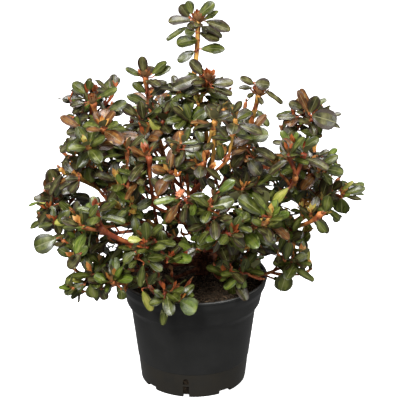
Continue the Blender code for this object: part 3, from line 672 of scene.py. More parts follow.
# %% Limbs as tapering curves
class Limb:
    """A tapering centreline: points, a radius at each, and the four handles of its curve."""

    def __init__(self, points, radii, handles=None):
        self.points, self.radii, self.handles = points, radii, handles

    def at(self, share):
        """Point, direction and radius at a share of the limb's points."""
        place = min(share, 0.9999) * (len(self.points) - 1)
        first = int(place)
        low, high = self.points[first], self.points[first + 1]
        radius = mix(self.radii[first], self.radii[first + 1], place - first)
        return low.lerp(high, place - first), (high - low).normalized(), radius

    def clearance(self, spot):
        """Distance from a spot to the limb's surface."""
        least = 1.0
        for i, (low, high) in enumerate(zip(self.points, self.points[1:])):
            span = high - low
            share = held((spot - low).dot(span) / span.length_squared)
            radius = mix(self.radii[i], self.radii[i + 1], share)
            least = min(least, (spot - low - span * share).length - radius)
        return least


def curve_handles(start, leaving, finish, arriving):
    length = (finish - start).length
    return start, start + leaving * (0.32 * length), finish - arriving * (0.34 * length), finish


def curve_points(handles, spans):
    points = []
    for i in range(spans + 1):
        t = i / spans
        s = 1 - t
        points.append(s**3 * handles[0] + 3 * s * s * t * handles[1] + 3 * s * t * t * handles[2]
                      + t**3 * handles[3])
    return points


# %% The trunk, and the direction of growth
FLARE, FLARE_LENGTH, FLARE_ROOTS = 0.005, 0.005, 5
TRUNK_RADII, TRUNK_RINGS = (0.0085, 0.0052), 8  # the radii are those of the foot and the head


def flare_at(height):
    """How far the widest root stands out of the trunk at a height."""
    return FLARE * math.exp(-(height - SOIL_CROWN) / FLARE_LENGTH)


def trunk_radius(share, height):
    """The trunk's mean radius, with its taper and its flared foot."""
    return mix(*TRUNK_RADII, share) + 0.6 * flare_at(height)


def trunk_limb():
    foot = Vector((*TRUNK_FOOT, SOIL_CROWN + GAP))
    head = Vector((*TRUNK_HEAD, SOIL_CROWN + TRUNK_LENGTH))
    points, radii = [], []
    for ring in range(TRUNK_RINGS):
        share = (ring / (TRUNK_RINGS - 1)) ** 1.5
        points.append(foot.lerp(head, share))
        radii.append(trunk_radius(share, points[-1].z))
    return Limb(points, radii)


def growth_direction(heart):
    """Outward from the shrub's axis, and lifted more the higher the foliage sits."""
    outward_way = Vector((heart.x - SHRUB_X, heart.y, 0)).normalized()
    lift = mix(math.radians(30), math.radians(80), held((heart.z - 0.16) / 0.26))
    return (outward_way * math.cos(lift) + Vector((0, 0, 1)) * math.sin(lift)).normalized()


# %% [markdown]
# A bough must not start inside its parent, nor hang beside it. So its foot is marched outwards in
# steps of a twentieth of a millimetre until the rim of the foot is just clear. That gives the seat of
# each bough. The finer bough is then drawn from a little deeper, so that its bark runs into its
# parent's as living wood does.

# %% Seat every bough
BOUGH_SPANS, BOUGH_TIP_RADIUS = 5, 0.0019
FOOT_ON_TRUNK, FOOT_ON_BOUGH = 0.0034, 0.0027  # the radius of a bough's foot
LEAST_FORK, SEAT_STEP = math.radians(48), 0.00005


def foot_rim(points, radius):
    """The edge of a bough's flat foot."""
    pair = across((points[1] - points[0]).normalized())
    return [points[0] + at_turn(pair, 2 * math.pi * i / 12) * radius for i in range(12)]


def bough_limb(parent, share, tip, arriving, foot_radius):
    """A bough seated just clear of its parent's flank, or of its end at share 1."""
    base, along, parent_radius = parent.at(share)
    if share >= 1.0:
        handles = curve_handles(parent.points[-1] + along * GAP, along, tip, arriving)
        points = curve_points(handles, BOUGH_SPANS)
    else:
        goal = (tip - base).normalized()
        side = (goal - along * goal.dot(along)).normalized()
        angle = max(LEAST_FORK, goal.angle(along))
        leaving = (along * math.cos(angle) + side * math.sin(angle)).normalized()
        out = parent_radius
        while True:
            handles = curve_handles(base + leaving * out, leaving, tip, arriving)
            points = curve_points(handles, BOUGH_SPANS)
            if all(parent.clearance(spot) > GAP for spot in foot_rim(points, foot_radius)):
                break
            out += SEAT_STEP
    radii = [mix(foot_radius, BOUGH_TIP_RADIUS, i / BOUGH_SPANS) for i in range(BOUGH_SPANS + 1)]
    return Limb(points, radii, handles)


ORANGE, YELLOW, RED = range(3)


class Mass:
    """One mass of foliage: where its heart is, how far it spreads and which way it grows."""

    def __init__(self, number, name, heart, spread, shoots):
        self.name, self.heart, self.spread, self.shoots = name, heart, spread, shoots
        self.growth = growth_direction(heart)
        self.entry = heart - self.growth * (spread + 0.006)
        self.chance = random.Random(100 * SECOND_SOWING.get(name, 0) + number)
        self.tone = YELLOW if name in YELLOW_SHOOTS else RED if name in RED_SHOOTS else ORANGE

    def leaned(self, spot):
        """A spot of the mass, carried along as its leading shoot leans."""
        share = held((spot - self.entry).dot(self.growth) / (1.8 * self.spread))
        return spot + Vector(LEAN.get(self.name, (0, 0, 0))) * share**1.5


limbs, masses, parents = {"trunk": trunk_limb()}, [], {}
for number, (name, parent, share, bearing, reach, height, spread, shoots) in enumerate(BOUGHS):
    turn = math.radians(bearing)
    heart = Vector((SHRUB_X + reach * math.cos(turn), reach * math.sin(turn), height))
    mass = Mass(number, name, heart, spread, shoots)
    foot_radius = FOOT_ON_TRUNK if parent == "trunk" else FOOT_ON_BOUGH
    limbs[name] = bough_limb(limbs[parent], share, mass.entry, mass.growth, foot_radius)
    parents[name] = parent
    masses.append(mass)
mass_nodes = [f"leaves_{mass.name}" for mass in masses]
longest = max((limb.points[0] - limb.points[-1]).length for limb in limbs.values())
print("limbs:", len(limbs), "longest bough", round(longest, 3), "m")

# %% [markdown]
# ## Bark
# Many small shapes are easier to keep, and quicker to draw, as one mesh. `Sheaf` collects points,
# faces and material numbers, and turns into one object at the end. `tube` lays rings along a line,
# with the ring's corners carried along so that the tube never twists, and lets a relief function push
# each point in or out: that is how the bark gets real fissures instead of a painted pattern.

# %% Sheaves and tubes
class Sheaf:
    """Points, faces and material numbers of many small shapes that become one mesh."""

    def __init__(self):
        self.points, self.faces, self.slots = [], [], []

    def add(self, points, faces, slots):
        first = len(self.points)
        self.points += points
        self.faces += [tuple(first + i for i in face) for face in faces]
        self.slots += slots

    def make(self, name, materials, slot, *nodes, sharp=180):
        made = mesh_object(name, self.points, self.faces, materials, self.slots)
        if sharp < 180:
            made.data.set_sharp_from_angle(angle=math.radians(sharp))
        return dress(made, slot, *nodes)


def tube(sheaf, line, radii, sides, slots, relief=None):
    """Rings along a line with closed ends; slots gives each span's material number."""
    points = []
    side = across((line[1] - line[0]).normalized())[0]
    run = 0.0
    for i, centre in enumerate(line):
        along = (line[min(i + 1, len(line) - 1)] - line[max(i - 1, 0)]).normalized()
        side = (side - along * side.dot(along)).normalized()
        other = along.cross(side)
        run += (centre - line[i - 1]).length if i else 0.0
        for corner in range(sides):
            turn = 2 * math.pi * corner / sides
            radius = radii[i] + (relief(turn, run, radii[i]) if relief else 0.0)
            points.append(centre + at_turn((side, other), turn) * radius)
    faces = ring_faces(len(line), sides)
    numbers = [slots[i] for i in range(len(line) - 1) for _ in range(sides)]
    faces += [tuple(reversed(range(sides))), tuple(range(len(points) - sides, len(points)))]
    sheaf.add(points, faces, numbers + [slots[0], slots[-1]])


def bark_relief(depth, seed, knots=0.014):
    """Long fissures, fine cracks, and the swollen ring of an old leaf scar every so often."""
    def relief(turn, run, radius):
        u, v = math.cos(turn) * 2.2, math.sin(turn) * 2.2
        fissure = noise.noise(Vector((u + seed, v, run * 110)))
        crack = noise.noise(Vector((2.6 * u, 2.6 * v + seed, run * 420)))
        knot = max(0.0, math.cos(2 * math.pi * run / knots + seed)) ** 8
        return depth * (-abs(fissure) * 1.6 + 0.4 + 0.5 * crack) + 0.10 * radius * knot
    return relief


# %% [markdown]
# The trunk of an azalea is short, knuckled and dark red-brown. Its foot spreads into a few roots
# before they dive into the peat. The rings here are a millimetre apart, fine enough for the fissures to
# be real grooves, and they follow the plain trunk's own taper and flare. The head is rounded off.

# %% The trunk
old_bark = surface("old_azalea_bark", ((0.040, 0.014, 0.007), (0.110, 0.034, 0.015), (0.220, 0.090, 0.042)),
                   260, (0.72, 0.95), bump=0.0004, stretch=(1, 1, 0.35), detail=8,
                   specular=0.3, spread=(0.30, 0.72))
red_bark = surface("red_azalea_bark", ((0.055, 0.014, 0.008), (0.150, 0.034, 0.014), (0.270, 0.085, 0.032)),
                   230, (0.42, 0.70), bump=0.0003, bump_scale=1300, stretch=(1, 1, 0.4), detail=7,
                   specular=0.4, spread=(0.30, 0.72))


def shoot_skin(name, colours):
    return surface(name, colours, 120, (0.34, 0.55), bump=0.00018, stretch=(1, 1, 0.5),
                   specular=0.45)


shoot_skins = [
    shoot_skin("orange_shoot", ((0.260, 0.062, 0.020), (0.480, 0.150, 0.042), (0.640, 0.270, 0.075))),
    shoot_skin("yellow_shoot", ((0.340, 0.120, 0.030), (0.560, 0.265, 0.055), (0.720, 0.440, 0.100))),
    shoot_skin("red_shoot", ((0.150, 0.026, 0.012), (0.290, 0.058, 0.020), (0.450, 0.135, 0.040))),
]
TRUNK_SIDES, TRUNK_STEP, DOME_START = 54, 0.001, 0.93
foot, head = limbs["trunk"].points[0], limbs["trunk"].points[-1]
points = []
rings = int(TRUNK_LENGTH / TRUNK_STEP)
for ring in range(rings + 1):
    share = ring / rings
    centre = foot.lerp(head, share)
    dome = math.sqrt(1 - held((share - DOME_START) / (1 - DOME_START)) ** 2) * 0.75 + 0.25
    for side in range(TRUNK_SIDES):
        turn = 2 * math.pi * side / TRUNK_SIDES
        around = Vector((math.cos(turn), math.sin(turn), 0))
        swell = 0.4 * flare_at(centre.z) * math.cos(FLARE_ROOTS * turn)
        furrow = abs(noise.noise(Vector((around.x * 2.4, around.y * 2.4, centre.z * 55))))
        crack = noise.noise(Vector((around.x * 7, around.y * 7, centre.z * 260)))
        burl = noise.noise(Vector((around.x * 1.1, around.y * 1.1, centre.z * 95)))
        radius = (trunk_radius(share, centre.z) + swell) * dome
        radius += 0.00035 * crack + 0.0006 * burl - 0.0014 * furrow
        points.append(centre + around * radius)
faces = ring_faces(rings + 1, TRUNK_SIDES)
faces += [tuple(reversed(range(TRUNK_SIDES))), tuple(range(rings * TRUNK_SIDES, len(points)))]
trunk = dress(mesh_object("trunk_bark", points, faces, [old_bark]), "old_bark", "trunk")
print("trunk:", triangles(trunk), "triangles")

# %% [markdown]
# Each bough is drawn with a ring every two millimetres and fourteen sides. Its line gets a slight
# wander, nothing at the ends and most in the middle, because wood that has been bent towards light for
# years is never a perfect curve. The foot starts inside the parent and swells into a collar. Towards
# the tip the bark is younger and redder.

# %% The boughs
BOUGH_STEP, BOUGH_SIDES, FISSURES = 0.002, 14, 0.00032
WANDER, COLLAR, COLLAR_LENGTH = 0.0034, 0.34, 0.0045
LEADER_END, BOUGH_END = 0.0033, 0.0021  # the radius where a bough runs into its shoots
OLD_BOUGHS = [name for name, parent in parents.items() if parent == "trunk"]
YOUNG_BOUGHS = [name for name, parent in parents.items() if parent != "trunk"]


def drawn_bough(name, number):
    """The fine line and radii of a bough, from inside its parent to its mass."""
    limb = limbs[name]
    length = line_length(limb.points)
    spans = max(12, int(length / BOUGH_STEP))
    line = curve_points(limb.handles, spans)
    for i in range(1, spans):
        share = i / spans
        sway = Vector([noise.noise(Vector((share * 3.2, number * 7.1, axis * 3.3))) for axis in range(3)])
        line[i] = line[i] + sway * (WANDER * math.sin(math.pi * share))
    leaving = (line[1] - line[0]).normalized()
    sunk = 0.7 * limbs[parents[name]].at(0.5)[2]
    end_radius = LEADER_END if name in SOLE_SHOOT else BOUGH_END
    radii = [mix(0.92 * limb.radii[0], end_radius, (i / spans) ** 0.8) for i in range(spans + 1)]
    for i in range(spans + 1):
        radii[i] *= 1 + COLLAR * math.exp(-i * length / spans / COLLAR_LENGTH)
    return [line[0] - leaving * sunk] + line, [radii[0] * 0.9] + radii


fine_lines = {}
bough_skins = [old_bark, red_bark, *shoot_skins]
old_boughs, young_boughs = Sheaf(), Sheaf()
for number, mass in enumerate(masses):
    name = mass.name
    line, radii = drawn_bough(name, number)
    fine_lines[name] = (line, radii)
    wander = 0.08 * noise.noise(Vector((number * 3.7, 0, 0)))
    corky, ripe = (0.26 + wander, 0.66 + wander) if name in OLD_BOUGHS else (0.0, 0.22 + wander)
    shares = [i / (len(line) - 1) for i in range(len(line) - 1)]
    numbers = [0 if share < corky else 1 if share < ripe else 2 + mass.tone for share in shares]
    sheaf = old_boughs if name in OLD_BOUGHS else young_boughs
    tube(sheaf, line, radii, BOUGH_SIDES, numbers, bark_relief(FISSURES, number * 1.7))
old_piece = old_boughs.make("old_bough_bark", bough_skins, "old_bark",
                            *[f"bough_{name}" for name in OLD_BOUGHS])
young_piece = young_boughs.make("young_bough_bark", bough_skins, "young_bark",
                                *[f"bough_{name}" for name in YOUNG_BOUGHS])
print("boughs:", triangles(old_piece) + triangles(young_piece), "triangles")

# %% [markdown]
# ## Shoots and twigs
# Inside each mass a stem runs on from the bough, with side shoots round it. They are the same lines as
# in the solids: the same seeded numbers, drawn in the same order. A shoot that would cross into the
# next mass, into the pot or through a limb is left out there, and so it is here. Side shoots are also
# left out where an opening is.

# %% Shoots of every mass
SHOOT_ROOM = 0.004
# the radii of a twig at its foot and under its rosette
LEADING_SHOOT, STEM, SIDE_SHOOT = (0.0031, 0.0042), (0.0020, 0.0031), (0.0016, 0.0027)


def shoot_handles(mass):
    """The mass's stem and side shoots, as curve handles with the spans that the plain ones have."""
    start = mass.entry + mass.growth * GAP
    tip = mass.heart + mass.growth * (0.8 * mass.spread)
    arriving = (mass.growth + Vector((0, 0, 0.4))).normalized()
    lines = [(curve_handles(start, mass.growth, tip, arriving), 3)]
    stem = curve_points(lines[0][0], 3)
    pair = across(mass.growth)
    first_turn = mass.chance.uniform(0, 2 * math.pi)
    for number in range(mass.shoots - 1):
        out = at_turn(pair, first_turn + 2 * math.pi * number / (mass.shoots - 1))
        polar_angle = math.radians(mass.chance.uniform(62, 92))
        reach = mass.spread * mass.chance.uniform(0.9, 1.1)
        aim = mass.growth * math.cos(polar_angle) + out * math.sin(polar_angle)
        foot = stem[1].lerp(stem[2], mass.chance.uniform(0.0, 0.6))
        leaving = (out + mass.growth * 0.8).normalized()
        arriving = (aim + Vector((0, 0, 0.9))).normalized()
        lines.append((curve_handles(foot, leaving, mass.heart + aim * reach, arriving), 2))
    return lines


def within(mass, spots, margin):
    """True if every spot is nearer this mass's heart than any other's, with the margin to spare."""
    for other in masses:
        if other is not mass:
            between = other.heart - mass.heart
            way, limit = between.normalized(), between.length / 2 - margin
            if any((spot - mass.heart).dot(way) > limit for spot in spots):
                return False
    return True


def clear_of_pot(spot, room=0.002):
    """Above the rim or outside the pot, and above the soil."""
    reach = math.hypot(spot.x, spot.y)
    if spot.z > POT_HEIGHT + room or reach > RIM_RADIUS + room:
        return True
    return reach < inner_wall(SOIL_EDGE) - room and spot.z > SOIL_CROWN + room


def accepted_shoots(mass):
    lines = shoot_handles(mass)
    kept = [lines[0][0]]
    for handles, spans in lines[1:]:
        spots = curve_points(handles, spans)
        clear = all(limb.clearance(spot) >= SHOOT_ROOM for limb in limbs.values() for spot in spots[1:])
        if within(mass, spots[1:], SHOOT_ROOM) and all(map(clear_of_pot, spots)) and clear:
            kept.append(handles)
    return kept


class Twig:
    """One line of growth with a whorl at its tip. Rank 0 is a mass's stem, 1 a side shoot of it,
    2 a finer twig and 3 a sprig that breaks from a bough. A bare one carries no leaves."""

    def __init__(self, line, thick, rank, mass, tone=None):
        self.line, self.thick, self.rank, self.mass = line, thick, rank, mass
        self.tone = mass.tone if tone is None else tone
        self.along = (line[-1] - line[-2]).normalized()
        self.bare = False


thin_out = random.Random(3)
twigs = []
for mass in masses:
    sole = mass.name in SOLE_SHOOT
    for place, handles in enumerate(accepted_shoots(mass)):
        line = [mass.leaned(spot) for spot in curve_points(handles, 14)]
        if place and (sole or leaves_kept(line[-1]) < thin_out.random()):
            continue
        thick = LEADING_SHOOT if sole else SIDE_SHOOT if place else STEM
        twigs.append(Twig(line, thick, 1 if place else 0, mass))
print("shoots:", len(twigs))

# %% [markdown]
# The plain masses stop at the shoots. A living azalea goes on: from the flank of each shoot come finer
# twigs, each with its own rosette, and a few short sprigs break straight from the boughs. They lean
# outwards and then turn up to the light. A twig is only kept if its tip stays inside the reach that
# the plain crown has, is not crowding the tip of another, and leaves the openings free.

# %% Finer twigs and sprigs
grow = random.Random(41)
TIP_ROOM, TWIG_TRIES = 0.0135, 8
FINE_TWIG, SPRIG = (0.0011, 0.0021), (0.0013, 0.0024)
box_low, box_high = Vector(frame_box[0]), Vector(frame_box[1])


def in_reach(spot, margin):
    """Inside the crown's own box, with the margin to spare."""
    low_enough = all(spot[axis] > box_low[axis] + margin for axis in (0, 1))
    return low_enough and all(spot[axis] < box_high[axis] - margin for axis in range(3))


def branch_off(line, share, length, lean, lift, keep_inside):
    """A finer twig off a line: the handles, or None if there is no room for it."""
    place = share * (len(line) - 1)
    first = min(int(place), len(line) - 2)
    foot = line[first].lerp(line[first + 1], place - first)
    along = (line[first + 1] - line[first]).normalized()
    pair = across(along)
    for _ in range(TWIG_TRIES):
        out = at_turn(pair, grow.uniform(0, 2 * math.pi))
        leaving = (out + along * lean).normalized()
        from_axis = Vector((foot.x, foot.y, 0))
        arriving = (leaving + Vector((0, 0, lift)) + from_axis * 1.5).normalized()
        tip = foot + (leaving + arriving).normalized() * length
        near = min((twig.line[-1] - tip).length for twig in twigs)
        if near < TIP_ROOM or not clear_of_pot(tip, 0.008) or not in_reach(tip, keep_inside):
            continue
        if leaves_kept(tip) < grow.random():
            continue
        if any(limb.clearance(tip) < 0.005 for limb in limbs.values()):
            continue
        return curve_points(curve_handles(foot, leaving, tip, arriving), 9)
    return None


main_shoots = list(twigs)
for twig in main_shoots:
    if twig.mass.name in SOLE_SHOOT:
        continue
    for share in ((0.42, 0.66) if twig.rank else (0.34, 0.56, 0.74)):
        place = share + grow.uniform(-0.06, 0.06)
        line = branch_off(twig.line, place, grow.uniform(0.014, 0.024), 0.7, 0.7, 0.016)
        if line:
            twigs.append(Twig(line, FINE_TWIG, 2, twig.mass))
print("fine twigs:", len(twigs) - len(main_shoots))
for mass in masses:
    if mass.name in SOLE_SHOOT:
        continue
    for share in (0.36, 0.52, 0.68, 0.84, 0.96):
        place = share + grow.uniform(-0.05, 0.05)
        line = branch_off(fine_lines[mass.name][0], place, grow.uniform(0.018, 0.036), 0.5, 0.9, 0.018)
        if line and grow.random() < 0.85:
            twigs.append(Twig(line, SPRIG, 3, mass))
print("tips with the sprigs:", len(twigs))

# %% [markdown]
# Chance leaves a few bare places that this shrub doesn't have. Each tip listed here gets a twig of its
# own, from the nearest wood that lies lower than it does, so that every spray still grows from
# something. The longer stems that fan out of the heart come first. A row gives the spot that the stem
# starts near, its tip, the ripeness of its skin, its girth, and whether it carries leaves. A later stem
# may grow from a bare one.

# %% Stems and twigs to chosen tips
CHOSEN_STEM, CHOSEN_TWIG = (0.0019, 0.0033), (0.0014, 0.0027)
FALL, NEAREST_WOOD = 0.006, 0.014  # a tip's wood is lower by the one and farther off than the other
CHOSEN_STEMS = (
    ((-0.039, -0.07, 0.282), (-0.036, -0.08, 0.326), RED, 0.8, False),
    ((-0.027, -0.07, 0.283), (-0.029, -0.08, 0.324), RED, 0.7, False),
    ((0.026, -0.08, 0.279), (0.023, -0.1, 0.334), RED, 0.9, False),
    ((0.024, -0.06, 0.281), (0.024, -0.09, 0.335), RED, 1.1, False),
    ((0.024, -0.09, 0.335), (0.026, -0.1, 0.399), YELLOW, 1.2, True),
    ((0.011, -0.06, 0.322), (0.017, -0.085, 0.356), ORANGE, 1.0, False),
    ((0.017, -0.085, 0.356), (0.023, -0.1, 0.387), YELLOW, 1.0, False),
    ((0.029, -0.06, 0.288), (0.044, -0.1, 0.352), ORANGE, 1.0, False),
    ((0.044, -0.1, 0.352), (0.052, -0.105, 0.403), YELLOW, 1.0, True),
    ((-0.028, -0.07, 0.287), (-0.02, -0.1, 0.361), RED, 0.9, True),
    ((-0.017, -0.05, 0.22), (-0.081, -0.09, 0.305), RED, 1.0, False),
    ((-0.077, -0.06, 0.322), (-0.083, -0.08, 0.353), ORANGE, 1.0, True),
    ((-0.047, -0.06, 0.282), (-0.055, -0.1, 0.352), RED, 1.3, False),
    ((-0.129, -0.01, 0.358), (-0.127, -0.03, 0.4), ORANGE, 1.45, False),
    ((0.115, -0.05, 0.263), (0.128, -0.09, 0.322), ORANGE, 1.35, False),
    ((0.011, -0.06, 0.186), (0.008, -0.09, 0.226), ORANGE, 1.2, False),
    ((-0.038, -0.04, 0.24), (-0.058, -0.085, 0.347), RED, 1.0, True),
    ((-0.01, -0.04, 0.214), (-0.07, -0.1, 0.326), RED, 1.0, True),
    ((0.116, -0.04, 0.263), (0.126, -0.06, 0.335), ORANGE, 1.0, True),
    ((-0.069, -0.07, 0.212), (-0.123, -0.1, 0.261), ORANGE, 1.0, True),
    ((0.006, -0.01, 0.385), (0.018, -0.03, 0.431), RED, 1.0, True),
    ((0.018, -0.06, 0.197), (0.032, -0.1, 0.241), ORANGE, 1.0, True),
    ((-0.105, -0.06, 0.225), (-0.148, -0.08, 0.263), ORANGE, 1.0, True),
    ((-0.158, -0.02, 0.268), (-0.173, -0.02, 0.307), YELLOW, 1.0, True),
    ((-0.138, -0.04, 0.314), (-0.146, -0.05, 0.364), ORANGE, 1.0, True),
    ((0.096, -0.05, 0.263), (0.104, -0.07, 0.328), ORANGE, 1.0, True),
    ((-0.032, -0.112, 0.173), (-0.018, -0.122, 0.168), ORANGE, 1.0, True),
    ((0.129, -0.085, 0.317), (0.119, -0.095, 0.353), RED, 1.3, True),
    ((0.129, -0.085, 0.317), (0.138, -0.09, 0.353), RED, 1.3, True),
    ((-0.132, -0.02, 0.265), (-0.15, -0.025, 0.303), YELLOW, 1.0, True),
    ((-0.066, -0.07, 0.21), (-0.108, -0.09, 0.241), ORANGE, 1.3, True),
    ((-0.117, -0.04, 0.318), (-0.113, -0.07, 0.379), ORANGE, 1.2, True),
    ((-0.129, -0.05, 0.323), (-0.132, -0.08, 0.358), YELLOW, 1.2, True),
    ((-0.068, -0.1, 0.174), (-0.103, -0.115, 0.189), ORANGE, 1.1, True),
    ((0.018, -0.05, 0.179), (0.037, -0.08, 0.219), RED, 1.3, True),
    ((-0.126, -0.05, 0.271), (-0.145, -0.07, 0.317), YELLOW, 1.0, False),
    ((-0.07, -0.11, 0.23), (-0.117, -0.13, 0.271), RED, 1.7, False),
    ((-0.109, -0.13, 0.261), (-0.12, -0.13, 0.291), RED, 1.0, True),
    ((-0.112, -0.12, 0.26), (-0.138, -0.13, 0.271), ORANGE, 1.0, True),
    ((0.128, -0.05, 0.204), (0.163, -0.07, 0.264), ORANGE, 1.5, False),
)
CHOSEN_TIPS = (
    (-0.031, 0.03, 0.326), (0.032, 0.03, 0.314), (0.067, 0.02, 0.286), (0.144, -0.03, 0.219),
    (-0.012, -0.125, 0.307), (0.063, -0.07, 0.298), (0.046, -0.1, 0.286), (-0.096, -0.09, 0.235),
    (-0.101, -0.09, 0.202), (-0.183, -0.02, 0.231), (-0.156, -0.08, 0.195), (-0.155, -0.1, 0.174),
    (-0.089, -0.1, 0.17), (-0.045, -0.09, 0.295), (0.022, -0.02, 0.42), (-0.02, -0.02, 0.412),
    (0.046, 0, 0.406), (-0.103, 0, 0.403), (-0.159, 0, 0.393), (-0.11, -0.01, 0.353),
    (0.207, 0.01, 0.263), (0.162, 0, 0.341), (0.128, -0.06, 0.175), (0.151, -0.05, 0.176),
    (0.124, -0.04, 0.214), (-0.027, -0.115, 0.176), (0.015, -0.06, 0.209), (0.078, -0.06, 0.3),
    (-0.171, 0, 0.324), (-0.189, 0.01, 0.276), (-0.016, 0.176, 0.246), (0.022, 0.17, 0.258),
    (-0.04, 0.152, 0.3),
)


def nearest(places, goal):
    """The nearest of places along the wood, each a spot and the mass whose wood it is."""
    return min(places, key=lambda place: (place[0] - goal).length)


for start, finish, tone, girth, leafy in CHOSEN_STEMS:
    finish = Vector(finish)
    wood = [(spot, mass) for mass in masses for spot in fine_lines[mass.name][0][4:]]
    wood += [(spot, twig.mass) for twig in twigs if twig.bare for spot in twig.line[10:]]
    root, mass = nearest(wood, Vector(start))
    way = (finish - root).normalized()
    leaving = (way + growth_direction(finish)).normalized()
    arriving = (way + Vector((0, 0, 0.5))).normalized()
    line = curve_points(curve_handles(root, leaving, finish, arriving), 30)
    twigs.append(Twig(line, [girth * radius for radius in CHOSEN_STEM], 0, mass, tone))
    twigs[-1].bare = not leafy
wood = [(spot, mass) for mass in masses for spot in fine_lines[mass.name][0][12::4]]
wood += [(spot, twig.mass) for twig in twigs if twig.rank < 2 for spot in twig.line[1:9:2]]
for goal in map(Vector, CHOSEN_TIPS):
    lower = [place for place in wood if place[0].z < goal.z - FALL]
    root, mass = nearest([place for place in lower if (place[0] - goal).length > NEAREST_WOOD], goal)
    way = (goal - root).normalized()
    out = Vector((goal.x - SHRUB_X, goal.y, 0)).normalized()
    leaving = (way + out * 0.4).normalized()
    arriving = (way + Vector((0, 0, 0.9))).normalized()
    line = curve_points(curve_handles(root, leaving, goal, arriving), 12)
    twigs.append(Twig(line, CHOSEN_TWIG, 1, mass))
print("chosen stems:", len(CHOSEN_STEMS), "chosen tips:", len(CHOSEN_TIPS), "tips in all:", len(twigs))

# %% [markdown]
# A young azalea shoot is club-shaped: thin where it leaves the wood and swollen under the rosette,
# where the leaf stalks crowd together. Its skin ripens from yellow through orange to red-brown, and a
# whole mass tends to be at one stage, so the colour is dealt out by mass.

# %% Draw the shoots
SHOOT_SIDES, SCAR_STEP, CLUB_LENGTH = 9, 0.0052, 0.011


def shoot_relief(seed):
    """Rings of leaf scars and a little unevenness."""
    def relief(turn, run, radius):
        scar = max(0.0, math.cos(2 * math.pi * run / SCAR_STEP + math.cos(turn + seed))) ** 10
        return radius * (0.09 * scar + 0.06 * noise.noise(Vector((math.cos(turn), run * 260, seed))))
    return relief


shoots = Sheaf()
for number, twig in enumerate(twigs):
    count, length = len(twig.line), line_length(twig.line)
    radii = []
    for i in range(count):
        to_tip = length * (1 - i / (count - 1))
        club = math.exp(-((to_tip / CLUB_LENGTH) ** 2))
        radii.append(mix(twig.thick[0], twig.thick[1], club) * (0.62 if i == count - 1 else 1.0))
    plain = twig.tone == YELLOW or twig.mass.name in SOLE_SHOOT or twig.rank in (1, 2)
    foot_skin = twig.tone if plain else RED
    numbers = [foot_skin if i / count < 0.3 else twig.tone for i in range(count - 1)]
    tube(shoots, twig.line, radii, SHOOT_SIDES, numbers, shoot_relief(number * 0.7))
shoot_piece = shoots.make("young_shoots", shoot_skins, "young_bark", *mass_nodes)
print("shoots:", triangles(shoot_piece), "triangles")

# %% [markdown]
# ## The leaf
# An evergreen azalea's leaf is widest beyond its middle and blunt at the end, with a sunk, paler
# midrib and a short red-orange stalk. One leaf is nine rows of six points on top, with one point under
# the middle of each row and one at the tip, which close it as a thin solid. A bract is the same thing
# from fewer points. Each leaf is bent along its length, folded along its midrib and rippled at its
# margin by its own numbers, so that no two are quite the same.

# %% One leaf from a few numbers
STALK_END, STALK_HALF, LEAF_THICK = 0.12, 0.0009, 0.00038
BLADE, SHADED_MARGIN, MIDRIB, UNDERSIDE, STALK = range(5)


def leaf_outline(t):
    """Half the leaf's width at a share of its length, as a share of its greatest."""
    if t <= STALK_END:
        return 0.0
    u = (t - STALK_END) / (1 - STALK_END)
    return max(0.0, math.sin(math.pi * u**1.25)) ** 0.46


class LeafGrid:
    """Row, column and layer of each point of a leaf, then its faces and their material numbers."""

    def __init__(self, rows, columns):
        places, self.faces, self.numbers = [], [], []
        for t in rows:
            places += [(t, s, 0.0) for s in columns] + [(t, 0.0, 1.0)]
        places.append((1.0, 0.0, 0.0))
        wide, tip = len(columns), len(places) - 1
        for row, t in enumerate(rows):
            a = row * (wide + 1)
            b = a + wide + 1
            last, stalk = row == len(rows) - 1, t < STALK_END - 0.01
            for column in range(wide - 1):
                corner = (tip,) if last else (b + column + 1, b + column)
                self.faces.append((a + column, a + column + 1, *corner))
                # the outer columns and the last row take the margin skin, which is darkened as painted shade
                edge = wide > 4 and (last or column in (0, wide - 2))
                rib = wide > 4 and column == wide // 2 - 1
                self.numbers.append(STALK if stalk else SHADED_MARGIN if edge else MIDRIB if rib else BLADE)
            under = a + wide
            left = (tip, under, a) if last else (b, b + wide, under, a)
            right = (a + wide - 1, under, tip) if last else (a + wide - 1, under, b + wide, b + wide - 1)
            self.faces += [left, right]
            self.numbers += [STALK if stalk else UNDERSIDE] * 2
        self.faces.append((*reversed(range(wide)), wide))
        self.numbers.append(STALK)
        self.places = np.array(places)
        self.outline = np.array([leaf_outline(t) for t in self.places[:, 0]])


GROWN = LeafGrid((0.0, 0.06, 0.12, 0.22, 0.40, 0.61, 0.79, 0.90, 0.97),
                 (-1.0, -0.58, -0.055, 0.055, 0.58, 1.0))
BRACT = LeafGrid((0.0, 0.12, 0.36, 0.68), (-1.0, -0.25, 0.25, 1.0))


